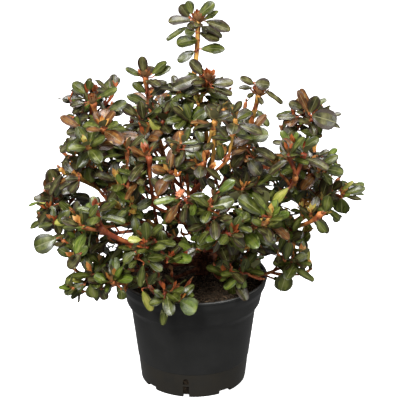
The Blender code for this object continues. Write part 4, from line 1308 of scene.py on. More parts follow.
class Leaf:
    """A leaf's root, its directions and the few numbers that shape it."""

    def __init__(self, root, way, face, length, width, bend, fold, phase):
        self.root, self.way, self.length, self.width = root, way, length, width
        self.face = (face - way * face.dot(way)).normalized()
        self.side = way.cross(self.face)
        self.bend = bend if abs(bend) > 0.02 else 0.02
        self.fold, self.phase = fold, phase

    def spot(self, t, s=0.0):
        """A point of the bent blade at a share of its length and width."""
        angle = self.bend * t
        run, drop = math.sin(angle) / self.bend, (1 - math.cos(angle)) / self.bend
        half = 0.5 * self.width * self.length * leaf_outline(t) * s
        return self.root + (self.way * run - self.face * drop) * self.length + self.side * half

    def points(self, grid):
        t, s, under = grid.places[:, 0], grid.places[:, 1], grid.places[:, 2]
        angle = self.bend * t
        run, drop = np.sin(angle) / self.bend * self.length, (1 - np.cos(angle)) / self.bend * self.length
        half = np.maximum(0.5 * self.width * self.length * grid.outline, np.where(t < 0.9, STALK_HALF, 0.0))
        y = half * s
        wave = np.sin(2 * math.pi * (1.7 * t + self.phase))
        ripple = 0.026 * self.length * wave * s * np.abs(s) * (t > 0.1)
        rise = self.fold * (np.abs(y) - 0.80 * y * y / np.maximum(half, 1e-6)) + ripple
        rise = rise - LEAF_THICK * under - 0.0002 * (np.abs(s) < 0.2) * (t > 0.1)
        ahead = run + rise * np.sin(angle)
        up = rise * np.cos(angle) - drop
        spots = np.outer(ahead, self.way) + np.outer(y, self.side) + np.outer(up, self.face)
        return [Vector(spot) for spot in spots + np.array(self.root)]


for name, grid in (("grown leaf", GROWN), ("bract", BRACT)):
    print(name, len(grid.places), "points,", len(grid.faces), "faces")

# %% [markdown]
# ## Leaf colours
# The old leaves of the crown are a dull olive with a purple-brown cast, those lower down are greener,
# and here and there one turns bronze or yellow before it drops. Colour belongs to a spray rather than
# to single leaves, so each rosette is dealt one tint, and only about a third of its leaves are dealt
# another. Every tint has five skins: the blade, whose palest colour is a painted highlight; its margin,
# darkened as painted shade, and on the deep leaves with a real purple-brown cast; the paler midrib;
# the paler underside; and the stalk.

# %% Tints
TINTS = {
    "deep": ((0.015, 0.014, 0.004), (0.037, 0.036, 0.009), (0.082, 0.075, 0.020)),
    "mid": ((0.027, 0.035, 0.005), (0.060, 0.073, 0.010), (0.108, 0.124, 0.021)),
    "fresh": ((0.058, 0.092, 0.009), (0.104, 0.152, 0.016), (0.182, 0.224, 0.034)),
    "bronze": ((0.058, 0.022, 0.006), (0.130, 0.050, 0.012), (0.220, 0.096, 0.022)),
    "yellow": ((0.220, 0.240, 0.035), (0.320, 0.330, 0.055), (0.420, 0.390, 0.085)),
    "orange_bract": ((0.240, 0.060, 0.016), (0.430, 0.150, 0.034), (0.560, 0.290, 0.070)),
    "golden_bract": ((0.300, 0.130, 0.030), (0.460, 0.260, 0.055), (0.420, 0.380, 0.090)),
    "red_bract": ((0.100, 0.018, 0.006), (0.225, 0.045, 0.013), (0.390, 0.110, 0.028)),
}
BRACTS = ("orange_bract", "golden_bract", "red_bract")


def paler(colour, share, towards=(0.44, 0.42, 0.20)):
    return tuple(mix(part, aim, share) for part, aim in zip(colour, towards))


def shaded_margin_tone(tint, colour):
    """The same green, darker as painted shade at the rolled edge; the deep leaves also have a real
    purple-brown cast there.
    """
    red, green, blue = colour
    if tint == "deep":
        return red + 0.004, 0.70 * green, 0.8 * blue + 0.002
    return 0.80 * red, 0.76 * green, 0.76 * blue


def leaf_skins(tint):
    tones = TINTS[tint]
    # The blade's fourth and palest colour, mixed in by the noise, is a painted highlight: pale streaks of
    # sheen on the glossy leaf. The other three are the leaf's own tones.
    blade = surface(f"{tint}_leaf_blade", (*tones, paler(tones[2], 0.18)), 130, (0.23, 0.36), bump=0.00022,
                    bump_scale=330, specular=0.42, detail=3, stretch=(1, 1, 0.55), spread=(0.32, 0.74))
    # The margin skin darkens the edge and tip faces of the blade: painted shade where the rolled margin
    # turns from the light, with the deep leaves' real purple-brown cast mixed in.
    margin = surface(f"{tint}_leaf_margin", [shaded_margin_tone(tint, tone) for tone in tones[:2]], 90,
                     (0.30, 0.45), bump=0.00020, bump_scale=600, specular=0.45, detail=3)
    pale_tones = [paler(tone, 0.26) for tone in tones]
    midrib = surface(f"{tint}_leaf_midrib", pale_tones, 62, (0.4, 0.55),
                     bump=0.0001, specular=0.45)
    under = surface(f"{tint}_leaf_underside", pale_tones, 120, (0.5, 0.65), bump=0.00020, bump_scale=500,
                    specular=0.35)
    stalk = surface(f"{tint}_leaf_stalk", ((0.300, 0.070, 0.022), (0.520, 0.180, 0.055)), 150, (0.4, 0.6),
                    bump=0.0001, specular=0.45)
    return [blade, margin, midrib, under, stalk]


deal = random.Random(5)


def tint_at(height):
    """A tint for a spray: darker and bronzed up in the crown, greener below."""
    up = held((height - 0.20) / 0.20)
    weights = (mix(0.30, 0.56, up), mix(0.48, 0.26, up), mix(0.16, 0.05, up), mix(0.0, 0.12, up), 0.008)
    return deal.choices(("deep", "mid", "fresh", "bronze", "yellow"), weights)[0]


# %% [markdown]
# Leaves must not pass through each other or through the wood. Two simple tests see to that. A
# search tree holds points along every limb and twig, with the radius there. And each leaf already
# placed is kept as two triangles in a coarse grid of cells, so a new one is only tried against its
# neighbours. A leaf that would cross gets a few more tries, each turned and shortened a little. The
# listed single leaves come first and are placed as they are, and the others keep clear of them.

# %% Room for a leaf
wood_spots = [(spot, radius) for line, radii in fine_lines.values() for spot, radius in zip(line, radii)]
for twig in twigs:
    wood_spots += [(spot, twig.thick[1]) for spot in twig.line]
wood_tree = KDTree(len(wood_spots))
for i, (spot, _) in enumerate(wood_spots):
    wood_tree.insert(spot, i)
wood_tree.balance()
CELL = 0.030
cells = {}


def leaf_triangles(leaf):
    root, left, right, tip = leaf.spot(0.12), leaf.spot(0.6, -0.9), leaf.spot(0.6, 0.9), leaf.spot(1.0)
    return (root, left, right), (left, tip, right)


def pierces(low, high, triangle):
    way = high - low
    hit = intersect_ray_tri(*triangle, way, low, True)
    return hit is not None and (hit - low).length < way.length


def crossing(one, two):
    for mine, theirs in ((one, two), (two, one)):
        for a, b, c in mine:
            for low, high in ((a, b), (b, c), (c, a)):
                if any(pierces(low, high, triangle) for triangle in theirs):
                    return True
    return False


def cell_of(spot):
    return tuple(math.floor(part / CELL) for part in spot)


def has_room(leaf):
    spots = [leaf.spot(t, s) for t in (0.36, 0.65, 0.97) for s in (-0.8, 0.0, 0.8)]
    for spot in spots:
        if not clear_of_pot(spot) or not in_reach(spot, -0.0045):
            return False
        _, i, distance = wood_tree.find(spot)
        if distance < wood_spots[i][1] + 0.0006:
            return False
    mine, centre = leaf_triangles(leaf), leaf.spot(0.55)
    for step in product((-1, 0, 1), repeat=3):
        cell = tuple(map(sum, zip(cell_of(centre), step)))
        for theirs, their_centre, reach in cells.get(cell, ()):
            near = (their_centre - centre).length < reach + 0.5 * leaf.length
            if near and crossing(mine, theirs):
                return False
    return True


def settle_leaf(leaf):
    centre = leaf.spot(0.55)
    cells.setdefault(cell_of(centre), []).append((leaf_triangles(leaf), centre, 0.5 * leaf.length))


# %% [markdown]
# ## Rosettes
# The leaves crowd at the tip of a shoot, each turned by the golden angle from the last, so that none
# lies straight over another. The inner ones are short and stand up, the outer ones are longest, level
# or drooping. Small coloured bracts crowd round the bud, and on a leading shoot they open into a broad
# cup. Below the rosette a few single leaves are left along the shoot.

# %% Grow the leaves
leaf_chance = random.Random(23)
TO_LIGHT = Vector((-0.25, -0.75, 0.60))  # the side the plant has been grown towards
leaf_sheaves = {tint: Sheaf() for tint in TINTS}
placed = {tint: 0 for tint in TINTS}


def place_leaf(leaf, tint):
    settle_leaf(leaf)
    grid = BRACT if tint in BRACTS else GROWN
    leaf_sheaves[tint].add(leaf.points(grid), grid.faces, grid.numbers)
    placed[tint] += 1


def try_leaf(root, along, turn, splay, length, width, bend, tint, tries=5):
    """Place one leaf if there is room, turning and shortening it a little each try."""
    pair = across(along)
    luck = leaf_chance.random()
    for attempt in range(tries):
        angle = turn + leaf_chance.uniform(-0.12, 0.12) * attempt * 2
        lean = math.radians(splay + leaf_chance.uniform(-6, 6) * attempt)
        way = (along * math.cos(lean) + at_turn(pair, angle) * math.sin(lean)).normalized()
        face = along + TO_LIGHT * 0.30
        face.rotate(Quaternion(way, math.radians(leaf_chance.uniform(-17, 17))))
        leaf = Leaf(root, way, face, length * 0.94**attempt, width, bend + leaf_chance.uniform(-0.16, 0.16),
                    leaf_chance.uniform(0.20, 0.50), leaf_chance.random())
        if min(leaves_kept(leaf.spot(t)) for t in (0.4, 0.9)) > luck and has_room(leaf):
            place_leaf(leaf, tint)
            return


def tuft(twig, axis, count, size, tone):
    """The small coloured leaves that crowd round the bud."""
    turn = leaf_chance.uniform(0, 2 * math.pi)
    for _ in range(count):
        turn += GOLDEN
        try_leaf(twig.line[-1] + axis * 0.0004, axis, turn, leaf_chance.uniform(6, 34),
                 leaf_chance.uniform(0.008, 0.017) * size, 0.37, 0.05, BRACTS[tone], tries=2)


def leading_tuft(twig, axis, count=24, open_to=66):
    """The broad red-brown cup of scales on top of a leading shoot."""
    pair = across(axis)
    for number in range(count):
        out = at_turn(pair, number * GOLDEN)
        lean = math.radians(open_to) * math.sqrt(number / count)
        way = (axis * math.cos(lean) + out * math.sin(lean)).normalized()
        foot = twig.line[-1] + out * (0.0030 * number / count) - axis * (0.0030 * number / count)
        place_leaf(Leaf(foot, way, axis - out * 0.8, leaf_chance.uniform(0.0110, 0.0160), 0.52, -0.5, 0.3,
                        leaf_chance.random()), "red_bract")


def rosette(twig):
    """The leaves at a tip, and the coloured bracts inside them."""
    tip = twig.line[-1]
    axis = (twig.along + Vector((0, 0, 0.9))).normalized()
    sole = twig.mass.name in SOLE_SHOOT and twig.rank == 0
    size = 1.15 if sole else (1.13, 1.05, 0.93, 0.97)[twig.rank]
    if sole:
        leading_tuft(twig, axis)
    count = leaf_chance.randint(*((4, 5) if sole else (7, 9) if twig.rank < 2 else (5, 7)))
    spray, breadth = tint_at(tip.z), leaf_chance.uniform(0.44 if sole else 0.38, 0.56)
    turn = leaf_chance.uniform(0, 2 * math.pi)
    for number in range(count):
        share = number / (count - 1)
        turn += GOLDEN
        length = mix(0.0170 if sole else 0.0200, 0.0325, share**0.6) * leaf_chance.uniform(0.84, 1.12) * size
        tint = "deep" if sole else spray if leaf_chance.random() < 0.66 else tint_at(tip.z)
        root, splay = tip - twig.along * mix(0.0002, 0.0080, share), mix(50 if sole else 26, 92, share)
        try_leaf(root, axis, turn, splay, length, breadth * leaf_chance.uniform(0.9, 1.1),
                 mix(0.10, 0.60, share), tint)
    if not sole:
        tuft(twig, axis, leaf_chance.randint(5, 9), size, twig.tone)


def leaves_down(line, first, last, room):
    """Single leaves down a line of growth, between two distances from its tip."""
    length = line_length(line)
    shoot = Limb(line, [0.0] * len(line))
    down, turn = first, leaf_chance.uniform(0, 2 * math.pi)
    while down < min(last, 0.95 * length):
        root, along, _ = shoot.at(1 - down / length)
        turn += GOLDEN
        try_leaf(root, along, turn, leaf_chance.uniform(56, 92), leaf_chance.uniform(0.022, 0.033),
                 leaf_chance.uniform(0.40, 0.54), 0.32, tint_at(root.z))
        down += leaf_chance.uniform(*room)


# %% [markdown]
# The leading shoots stand against the sky, so their leaves are what the plant is known by. They are
# placed one by one, together with the yellow ones about to drop, the broad round ones of the skirt, and
# those in the heart of the crown that catch the eye. Each is given by where its blade starts and ends
# on the upright plane through the trunk, as seen from the eye, with its width and its tint. It hangs
# at the depth of the foremost wood near it, on a stalk from that wood.

# %% The leaves that stand out
SINGLE_LEAVES = (
    (-0.004, 0.499, -0.032, 0.5, 0.0194, "deep"), (-0.006, 0.503, -0.016, 0.518, 0.015, "deep"),
    (-0.002, 0.507, -0.007, 0.523, 0.0135, "mid"), (0.007, 0.505, 0.025, 0.522, 0.0165, "mid"),
    (0.013, 0.499, 0.03, 0.512, 0.012, "mid"), (0.016, 0.497, 0.048, 0.488, 0.0179, "deep"),
    (0.008, 0.482, 0.034, 0.475, 0.0165, "deep"), (-0.008, 0.49, -0.036, 0.474, 0.009, "mid"),
    (0.005, 0.473, -0.022, 0.471, 0.0254, "mid"), (0.01, 0.461, 0.04, 0.463, 0.0165, "mid"),
    (0.001, 0.458, -0.021, 0.445, 0.0135, "mid"), (0.012, 0.428, -0.003, 0.446, 0.0179, "deep"),
    (0.025, 0.414, 0.051, 0.418, 0.0135, "deep"), (0.026, 0.409, 0.051, 0.402, 0.012, "deep"),
    (0.007, 0.424, -0.029, 0.409, 0.0164, "deep"), (-0.002, 0.418, -0.012, 0.395, 0.021, "deep"),
    (-0.063, 0.429, -0.066, 0.45, 0.0135, "deep"), (-0.068, 0.425, -0.086, 0.436, 0.009, "mid"),
    (-0.053, 0.428, -0.036, 0.445, 0.0135, "mid"), (-0.05, 0.425, -0.03, 0.438, 0.0105, "mid"),
    (-0.062, 0.403, -0.077, 0.416, 0.012, "mid"), (-0.053, 0.399, -0.034, 0.414, 0.0135, "deep"),
    (-0.061, 0.389, -0.085, 0.399, 0.012, "mid"), (-0.051, 0.418, -0.034, 0.417, 0.0059, "deep"),
    (0.078, 0.414, 0.061, 0.424, 0.0135, "deep"), (0.076, 0.409, 0.058, 0.411, 0.0105, "deep"),
    (0.079, 0.416, 0.098, 0.413, 0.0164, "deep"), (0.091, 0.406, 0.117, 0.39, 0.0105, "deep"),
    (0.078, 0.402, 0.069, 0.397, 0.009, "deep"), (0.083, 0.398, 0.09, 0.387, 0.009, "deep"),
    (-0.139, 0.402, -0.154, 0.416, 0.0164, "mid"), (-0.135, 0.407, -0.132, 0.418, 0.012, "mid"),
    (-0.143, 0.395, -0.169, 0.394, 0.012, "deep"), (-0.141, 0.389, -0.158, 0.387, 0.012, "deep"),
    (-0.119, 0.406, -0.095, 0.422, 0.015, "mid"), (-0.119, 0.397, -0.099, 0.41, 0.0135, "mid"),
    (-0.109, 0.379, -0.087, 0.391, 0.0135, "mid"), (-0.14, 0.385, -0.157, 0.376, 0.012, "deep"),
    (-0.148, 0.356, -0.171, 0.371, 0.012, "bronze"), (-0.111, 0.355, -0.098, 0.363, 0.012, "mid"),
    (-0.147, 0.351, -0.165, 0.349, 0.0135, "deep"), (-0.154, 0.334, -0.175, 0.323, 0.012, "deep"),
    (-0.15, 0.312, -0.159, 0.29, 0.0149, "fresh"), (-0.163, 0.313, -0.171, 0.288, 0.009, "deep"),
    (-0.138, 0.301, -0.133, 0.278, 0.0179, "mid"), (-0.151, 0.285, -0.168, 0.285, 0.0105, "deep"),
    (-0.151, 0.281, -0.165, 0.266, 0.0135, "deep"), (-0.175, 0.264, -0.187, 0.297, 0.0239, "deep"),
    (-0.186, 0.26, -0.194, 0.283, 0.012, "bronze"), (-0.189, 0.255, -0.21, 0.259, 0.0135, "deep"),
    (-0.178, 0.248, -0.207, 0.223, 0.0239, "deep"), (-0.16, 0.262, -0.136, 0.259, 0.0135, "deep"),
    (-0.163, 0.24, -0.179, 0.223, 0.0135, "mid"), (-0.117, 0.288, -0.125, 0.271, 0.0164, "mid"),
    (0.082, 0.379, 0.099, 0.357, 0.0105, "mid"), (0.073, 0.376, 0.06, 0.371, 0.0135, "mid"),
    (0.073, 0.342, 0.097, 0.348, 0.0239, "mid"), (0.081, 0.327, 0.108, 0.315, 0.0179, "deep"),
    (0.071, 0.313, 0.09, 0.29, 0.0195, "deep"), (0.148, 0.376, 0.135, 0.405, 0.0105, "bronze"),
    (0.15, 0.376, 0.159, 0.397, 0.0164, "deep"), (0.153, 0.372, 0.186, 0.363, 0.0284, "deep"),
    (0.141, 0.382, 0.123, 0.389, 0.0135, "deep"), (0.132, 0.37, 0.109, 0.371, 0.0105, "deep"),
    (0.138, 0.351, 0.168, 0.346, 0.0135, "mid"), (0.134, 0.356, 0.114, 0.342, 0.0195, "deep"),
    (0.145, 0.329, 0.162, 0.341, 0.012, "mid"), (0.125, 0.333, 0.103, 0.337, 0.009, "deep"),
    (0.162, 0.317, 0.176, 0.324, 0.009, "deep"), (0.169, 0.306, 0.188, 0.317, 0.012, "mid"),
    (0.172, 0.299, 0.197, 0.294, 0.0164, "mid"), (0.169, 0.259, 0.176, 0.287, 0.0195, "deep"),
    (0.183, 0.269, 0.193, 0.281, 0.012, "deep"), (0.199, 0.264, 0.225, 0.273, 0.012, "mid"),
    (0.199, 0.26, 0.222, 0.257, 0.0075, "deep"), (0.195, 0.269, 0.209, 0.281, 0.0059, "yellow"),
    (0.195, 0.257, 0.195, 0.235, 0.0239, "mid"), (0.187, 0.236, 0.191, 0.223, 0.012, "mid"),
    (0.174, 0.238, 0.177, 0.26, 0.0164, "mid"), (0.124, 0.271, 0.102, 0.25, 0.0135, "yellow"),
    (-0.151, 0.177, -0.169, 0.157, 0.0164, "deep"), (-0.147, 0.135, -0.175, 0.12, 0.0135, "mid"),
    (-0.147, 0.132, -0.166, 0.112, 0.009, "mid"), (-0.136, 0.135, -0.133, 0.112, 0.021, "mid"),
    (-0.123, 0.125, -0.118, 0.11, 0.012, "deep"), (-0.117, 0.137, -0.132, 0.147, 0.0135, "fresh"),
    (-0.097, 0.125, -0.096, 0.11, 0.0135, "mid"), (-0.147, 0.138, -0.167, 0.141, 0.0075, "yellow"),
    (-0.067, 0.161, -0.074, 0.128, 0.012, "mid"), (-0.049, 0.151, -0.06, 0.132, 0.0105, "mid"),
    (-0.068, 0.123, -0.056, 0.092, 0.012, "yellow"), (-0.041, 0.11, -0.06, 0.106, 0.012, "mid"),
    (-0.037, 0.106, -0.043, 0.07, 0.0105, "mid"), (-0.04, 0.114, -0.052, 0.125, 0.009, "mid"),
    (-0.032, 0.114, -0.014, 0.129, 0.0135, "mid"), (-0.018, 0.109, 0.005, 0.095, 0.0239, "fresh"),
    (0.06, 0.144, 0.04, 0.128, 0.0135, "fresh"), (0.062, 0.145, 0.071, 0.128, 0.0105, "fresh"),
    (0.051, 0.172, 0.026, 0.151, 0.012, "mid"), (0.066, 0.151, 0.071, 0.169, 0.012, "mid"),
    (0.129, 0.166, 0.106, 0.166, 0.0149, "mid"), (0.123, 0.169, 0.128, 0.193, 0.0135, "mid"),
    (0.133, 0.169, 0.151, 0.177, 0.0135, "mid"), (0.132, 0.158, 0.164, 0.141, 0.0135, "mid"),
    (0.125, 0.151, 0.118, 0.122, 0.0254, "mid"), (0.145, 0.196, 0.157, 0.166, 0.0105, "yellow"),
    (0.091, 0.19, 0.115, 0.18, 0.0135, "deep"), (-0.182, 0.2, -0.213, 0.187, 0.0269, "mid"),
    (-0.057, 0.366, -0.042, 0.349, 0.0115, "yellow"), (-0.072, 0.371, -0.092, 0.387, 0.0173, "deep"),
    (-0.065, 0.367, -0.067, 0.391, 0.0144, "deep"), (-0.063, 0.364, -0.043, 0.383, 0.013, "mid"),
    (-0.004, 0.364, -0.024, 0.385, 0.013, "deep"), (-0.004, 0.367, -0.01, 0.387, 0.013, "mid"),
    (-0.001, 0.364, 0.017, 0.379, 0.0144, "mid"), (-0.008, 0.355, -0.017, 0.34, 0.0115, "mid"),
    (-0.015, 0.334, 0.006, 0.337, 0.0072, "mid"), (-0.012, 0.326, 0.009, 0.33, 0.0115, "deep"),
    (-0.018, 0.317, 0.002, 0.319, 0.0101, "mid"), (0.033, 0.351, 0.045, 0.341, 0.0115, "fresh"),
    (0.071, 0.356, 0.061, 0.329, 0.0144, "mid"), (0.067, 0.322, 0.048, 0.302, 0.0202, "deep"),
    (0.034, 0.267, 0.053, 0.283, 0.013, "fresh"), (0.065, 0.288, 0.073, 0.257, 0.0202, "mid"),
    (0.026, 0.246, 0.053, 0.255, 0.0159, "mid"), (0.09, 0.236, 0.061, 0.26, 0.0202, "mid"),
    (0.101, 0.235, 0.081, 0.266, 0.013, "mid"), (0.076, 0.223, 0.057, 0.242, 0.0101, "fresh"),
    (0.076, 0.218, 0.055, 0.216, 0.0115, "mid"), (0.084, 0.215, 0.099, 0.208, 0.0115, "deep"),
    (0.091, 0.233, 0.093, 0.248, 0.0087, "fresh"), (0.08, 0.212, 0.111, 0.196, 0.0202, "mid"),
    (-0.006, 0.243, 0.01, 0.212, 0.0216, "mid"), (-0.02, 0.248, -0.038, 0.223, 0.013, "bronze"),
    (-0.062, 0.198, -0.063, 0.222, 0.013, "mid"), (-0.058, 0.203, -0.043, 0.22, 0.013, "mid"),
    (-0.07, 0.198, -0.087, 0.2, 0.0115, "yellow"), (-0.001, 0.182, -0.019, 0.193, 0.013, "fresh"),
    (0.013, 0.183, 0.005, 0.2, 0.0101, "mid"), (0.017, 0.183, 0.023, 0.2, 0.0115, "fresh"),
    (-0.082, 0.327, -0.064, 0.313, 0.0101, "bronze"), (-0.086, 0.297, -0.069, 0.278, 0.0115, "mid"),
    (-0.091, 0.278, -0.087, 0.297, 0.0087, "fresh"), (-0.094, 0.277, -0.099, 0.29, 0.0087, "fresh"),
    (-0.005, 0.26, 0.015, 0.263, 0.0072, "mid"), (0.051, 0.376, 0.061, 0.391, 0.0115, "deep"),
    (0.029, 0.368, 0.045, 0.376, 0.0115, "deep"), (-0.056, 0.395, -0.046, 0.376, 0.013, "deep"),
    (-0.03, 0.382, -0.02, 0.398, 0.013, "deep"), (-0.035, 0.368, -0.02, 0.376, 0.0115, "mid"),
    (-0.099, 0.269, -0.112, 0.25, 0.0144, "deep"), (-0.107, 0.255, -0.123, 0.235, 0.0144, "deep"),
    (-0.086, 0.233, -0.105, 0.22, 0.013, "mid"), (-0.126, 0.248, -0.139, 0.232, 0.013, "mid"),
    (-0.078, 0.18, -0.095, 0.166, 0.013, "mid"), (-0.058, 0.166, -0.041, 0.154, 0.013, "mid"),
    (-0.034, 0.166, -0.017, 0.177, 0.013, "mid"), (-0.028, 0.2, -0.044, 0.186, 0.0115, "mid"),
    (0.043, 0.223, 0.027, 0.209, 0.013, "deep"), (0.051, 0.203, 0.07, 0.189, 0.0144, "deep"),
    (0.062, 0.198, 0.051, 0.177, 0.0144, "deep"), (0.15, 0.288, 0.135, 0.269, 0.0115, "deep"),
    (0.148, 0.269, 0.135, 0.25, 0.0115, "mid"), (0.14, 0.246, 0.158, 0.226, 0.0115, "mid"),
    (0.002, 0.484, -0.011, 0.483, 0.0135, "mid"), (0.006, 0.49, -0.008, 0.492, 0.0105, "deep"),
    (0.011, 0.491, 0.017, 0.482, 0.009, "deep"), (-0.024, 0.257, -0.053, 0.252, 0.0105, "fresh"),
    (-0.056, 0.285, -0.04, 0.273, 0.015, "deep"), (-0.032, 0.269, -0.048, 0.281, 0.0135, "deep"),
    (0.028, 0.271, 0.019, 0.284, 0.0105, "deep"), (0.009, 0.29, 0.016, 0.273, 0.0105, "deep"),
    (-0.045, 0.409, -0.056, 0.42, 0.0105, "deep"), (-0.179, 0.243, -0.202, 0.212, 0.0254, "deep"),
    (-0.182, 0.223, -0.176, 0.206, 0.012, "deep"), (0.128, 0.198, 0.145, 0.209, 0.0135, "deep"),
    (-0.012, 0.232, 0.003, 0.218, 0.0135, "deep"), (-0.037, 0.288, -0.048, 0.299, 0.0105, "mid"),
    (0.052, 0.299, 0.066, 0.287, 0.0135, "deep"), (0.037, 0.311, 0.033, 0.33, 0.0105, "mid"),
    (0.163, 0.225, 0.176, 0.208, 0.0135, "mid"), (0.142, 0.193, 0.153, 0.208, 0.0135, "mid"),
    (0.016, 0.287, 0.01, 0.269, 0.009, "deep"),
)
NEAR_WOOD, LEAST_STALK, STALK_SIDES = 0.014, 0.002, 7
wood_seen = [(spot, seen_at(spot)) for twig in twigs for spot in twig.line[1:]]
wood_seen += [(spot, seen_at(spot)) for mass in masses for spot in fine_lines[mass.name][0][12::2]]


def hung(x, z, depth):
    """The spot at a depth that the eye sees at x and z of the upright plane."""
    return EYE.lerp(Vector((x, 0, z)), (depth - EYE.y) / -EYE.y)


def wood_at(x, z):
    """The foremost wood that the eye sees near a place, or else the nearest."""
    near = [spot for spot, seen in wood_seen if math.dist(seen, (x, z)) < NEAR_WOOD]
    if near:
        return min(near, key=lambda spot: spot.y)
    return min(wood_seen, key=lambda wood: math.dist(wood[1], (x, z)))[0]


stalks = Sheaf()
for x, z, end_x, end_z, width, tint in SINGLE_LEAVES:
    root = wood_at(x, z)
    start, end = hung(x, z, root.y - 0.003), hung(end_x, end_z, root.y - 0.007)
    way, length = (end - start).normalized(), (end - start).length / (1 - STALK_END)
    face = Vector((0, -0.7, 0.7)) - way * 0.2
    face.rotate(Quaternion(way, math.radians(leaf_chance.uniform(-24, 24))))
    foot = start - way * (STALK_END * length)
    place_leaf(Leaf(foot, way, face, length, width / length, 0.25, leaf_chance.uniform(0.2, 0.5),
                    leaf_chance.random()), tint)
    if (foot - root).length > LEAST_STALK:
        bow = root.lerp(foot, 0.5) + Vector((0, 0, 0.1 * (foot - root).length))
        line = [root, bow, foot, foot + way * 0.002]
        tube(stalks, line, [0.0010, 0.0008, 0.0007, 0.0006], STALK_SIDES, [0, 0, 0])
stalk_piece = stalks.make("single_leaf_stalks", [shoot_skins[RED]], "young_bark", *mass_nodes)
print("single leaves:", sum(placed.values()), "stalks:", triangles(stalk_piece), "triangles")

# %% The rosettes and the leaves below them
STOUT = 0.0045
for twig in twigs:
    if not twig.bare:
        rosette(twig)
    elif twig.thick[1] > STOUT and twig.mass.name == "left_crown":
        leading_tuft(twig, twig.along, 14, 32)  # a smaller cup on the stout bare shoot of the left crown
for twig in twigs:
    if twig.bare:
        continue
    if twig.mass.name in SOLE_SHOOT and twig.rank == 0:
        leaves_down(fine_lines[twig.mass.name][0], 0.012, 0.045, (0.007, 0.012))
    else:
        leaves_down(twig.line, 0.0135, 0.80 * line_length(twig.line), (0.007, 0.011))
for tint, sheaf in leaf_sheaves.items():
    piece = sheaf.make(f"{tint}_leaves", leaf_skins(tint), "azalea_leaf", *mass_nodes, sharp=48)
    print(piece.name, placed[tint], "leaves", triangles(piece), "triangles")
print("leaves:", sum(placed.values()))

# %% [markdown]
# ## Buds
# At the heart of every rosette sits a pointed bud under overlapping scales. It is turned up from seven
# rings of nine points, with three shallow ridges that wind round it like the scales' edges. One shoot
# at the front of the crown carries a tight bunch of fourteen fatter flower buds.

# %% Buds at the tips
BUD_RINGS, BUD_SIDES = 7, 9
BUNCH, BUNCH_COUNT, BUNCH_OPEN = Vector((-0.012, -0.125, 0.307)), 14, math.radians(72)
bud_brown = surface("winter_bud", ((0.130, 0.036, 0.012), (0.270, 0.082, 0.024), (0.430, 0.165, 0.052)), 420,
                    (0.42, 0.62), bump=0.0002, bump_scale=1900, specular=0.45)
bud_orange = surface("flower_bud", ((0.420, 0.110, 0.045), (0.620, 0.210, 0.090), (0.700, 0.330, 0.150)),
                     260, (0.36, 0.55), bump=0.0002, specular=0.45, sheen=0.2)


def bud(sheaf, foot, along, length, radius, slot, wind=5.0):
    """A pointed oval with winding ridges, closed at both ends."""
    pair = across(along)
    points = [foot - along * (0.1 * length)]
    for ring in range(BUD_RINGS):
        share = (ring + 0.6) / BUD_RINGS
        swell = math.sin(math.pi * share**0.8) ** 0.8
        for corner in range(BUD_SIDES):
            turn = 2 * math.pi * corner / BUD_SIDES
            reach = radius * swell * (1 + 0.10 * math.cos(3 * turn + wind * share))
            points.append(foot + along * (length * (share - 0.06)) + at_turn(pair, turn) * reach)
    points.append(foot + along * length)
    tip = len(points) - 1
    faces = ring_faces(BUD_RINGS, BUD_SIDES, 1)
    for corner in range(BUD_SIDES):
        after = (corner + 1) % BUD_SIDES
        faces += [(0, 1 + after, 1 + corner), (tip - BUD_SIDES + corner, tip - BUD_SIDES + after, tip)]
    sheaf.add(points, faces, [slot] * len(faces))


buds = Sheaf()
for twig in twigs:
    length = leaf_chance.uniform(0.0050, 0.0070) * (1.0 if twig.rank < 2 else 0.8)
    bud(buds, twig.line[-1], twig.along, length, 0.30 * length, 0, wind=leaf_chance.uniform(3, 7))
bearer = min(twigs, key=lambda twig: (twig.line[-1] - BUNCH).length)
pair = across(bearer.along)
for number in range(BUNCH_COUNT):
    lean = BUNCH_OPEN * math.sqrt(number / BUNCH_COUNT)
    way = bearer.along * math.cos(lean) + at_turn(pair, number * GOLDEN) * math.sin(lean)
    foot = bearer.line[-1] + bearer.along * 0.004 + way * 0.0025
    bud(buds, foot, way, leaf_chance.uniform(0.0058, 0.0074), 0.0021, 1)
bud_piece = buds.make("tip_buds", [bud_brown, bud_orange], "young_bark", *mass_nodes)
print("buds:", len(twigs), "flower bud bunch at", [round(part, 3) for part in bearer.line[-1]])
print("buds:", triangles(bud_piece), "triangles")

# %% [markdown]
# ## Floor, light and camera
# A plain white floor and an even white surround give the soft, nearly shadowless light of a catalogue
# picture. One broad lamp from the upper left in front gives the leaves a sheen, a second one high up
# and a little behind lights the tops of the sprays, and a weaker one fills the right. The camera
# stands two metres off with a long lens and looks down about 21 degrees.

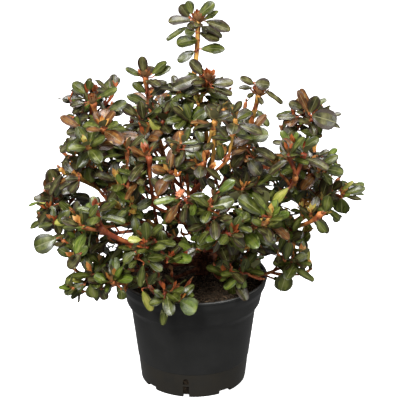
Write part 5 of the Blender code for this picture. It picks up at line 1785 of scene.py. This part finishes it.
# %% The floor
FLOOR_HALF = 30
floor_white = surface("white_floor", ((0.86, 0.86, 0.86), (0.90, 0.90, 0.90)), 3, (0.8, 0.9), specular=0.1)
shader = floor_white.node_tree.nodes["Principled BSDF"]
shader.inputs["Emission Color"].default_value = (1, 1, 1, 1)
shader.inputs["Emission Strength"].default_value = 1.0
corners = [(x * FLOOR_HALF, y * FLOOR_HALF, 0) for x, y in ((-1, -1), (1, -1), (1, 1), (-1, 1))]
floor = mesh_object("studio_floor", corners, [(0, 1, 2, 3)], [floor_white])
floor.visible_diffuse = False  # the floor shows white, and throws no light up into the crown
floor.visible_glossy = False  # nor does it mirror in the black pot
floor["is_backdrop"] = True

# %% World and lamps
CROWN_MIDDLE = Vector((0, 0, 0.28))
scene = bpy.context.scene
scene.view_settings.view_transform = "Standard"
world = bpy.data.worlds.new("white_surround")
scene.world = world
world.use_nodes = True
world.node_tree.nodes["Background"].inputs["Color"].default_value = (1, 1, 1, 1)
world.node_tree.nodes["Background"].inputs["Strength"].default_value = 0.31


def lamp(name, place, size, power):
    """A square soft lamp that faces the middle of the crown."""
    light = bpy.data.lights.new(name, "AREA")
    light.size, light.energy = size, power
    made = bpy.data.objects.new(name, light)
    made.location = place
    made.rotation_euler = (CROWN_MIDDLE - Vector(place)).to_track_quat("-Z", "Y").to_euler()
    scene.collection.objects.link(made)


lamp("key_lamp", (-0.8, -1.7, 2.0), 0.8, 78)
lamp("top_lamp", (0.2, 0.3, 2.3), 1.0, 44)
lamp("fill_lamp", (1.5, -1.5, 1.3), 0.9, 22)

# %% Camera
view = bpy.data.cameras.new("catalogue_camera")
view.sensor_width, view.lens = 36.0, 150.9
view.shift_x, view.shift_y = 0.0164, -0.0274
camera = bpy.data.objects.new("catalogue_camera", view)
camera.location = EYE
camera.rotation_euler = (math.radians(69.04), 0.0, 0.0)
scene.collection.objects.link(camera)
scene.camera = camera

# %% [markdown]
# Last, the box of the dressed model is measured and printed.

# %% Measure and finish
lowest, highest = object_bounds()
print("grown box", [round(v, 4) for v in (*lowest, *highest)])
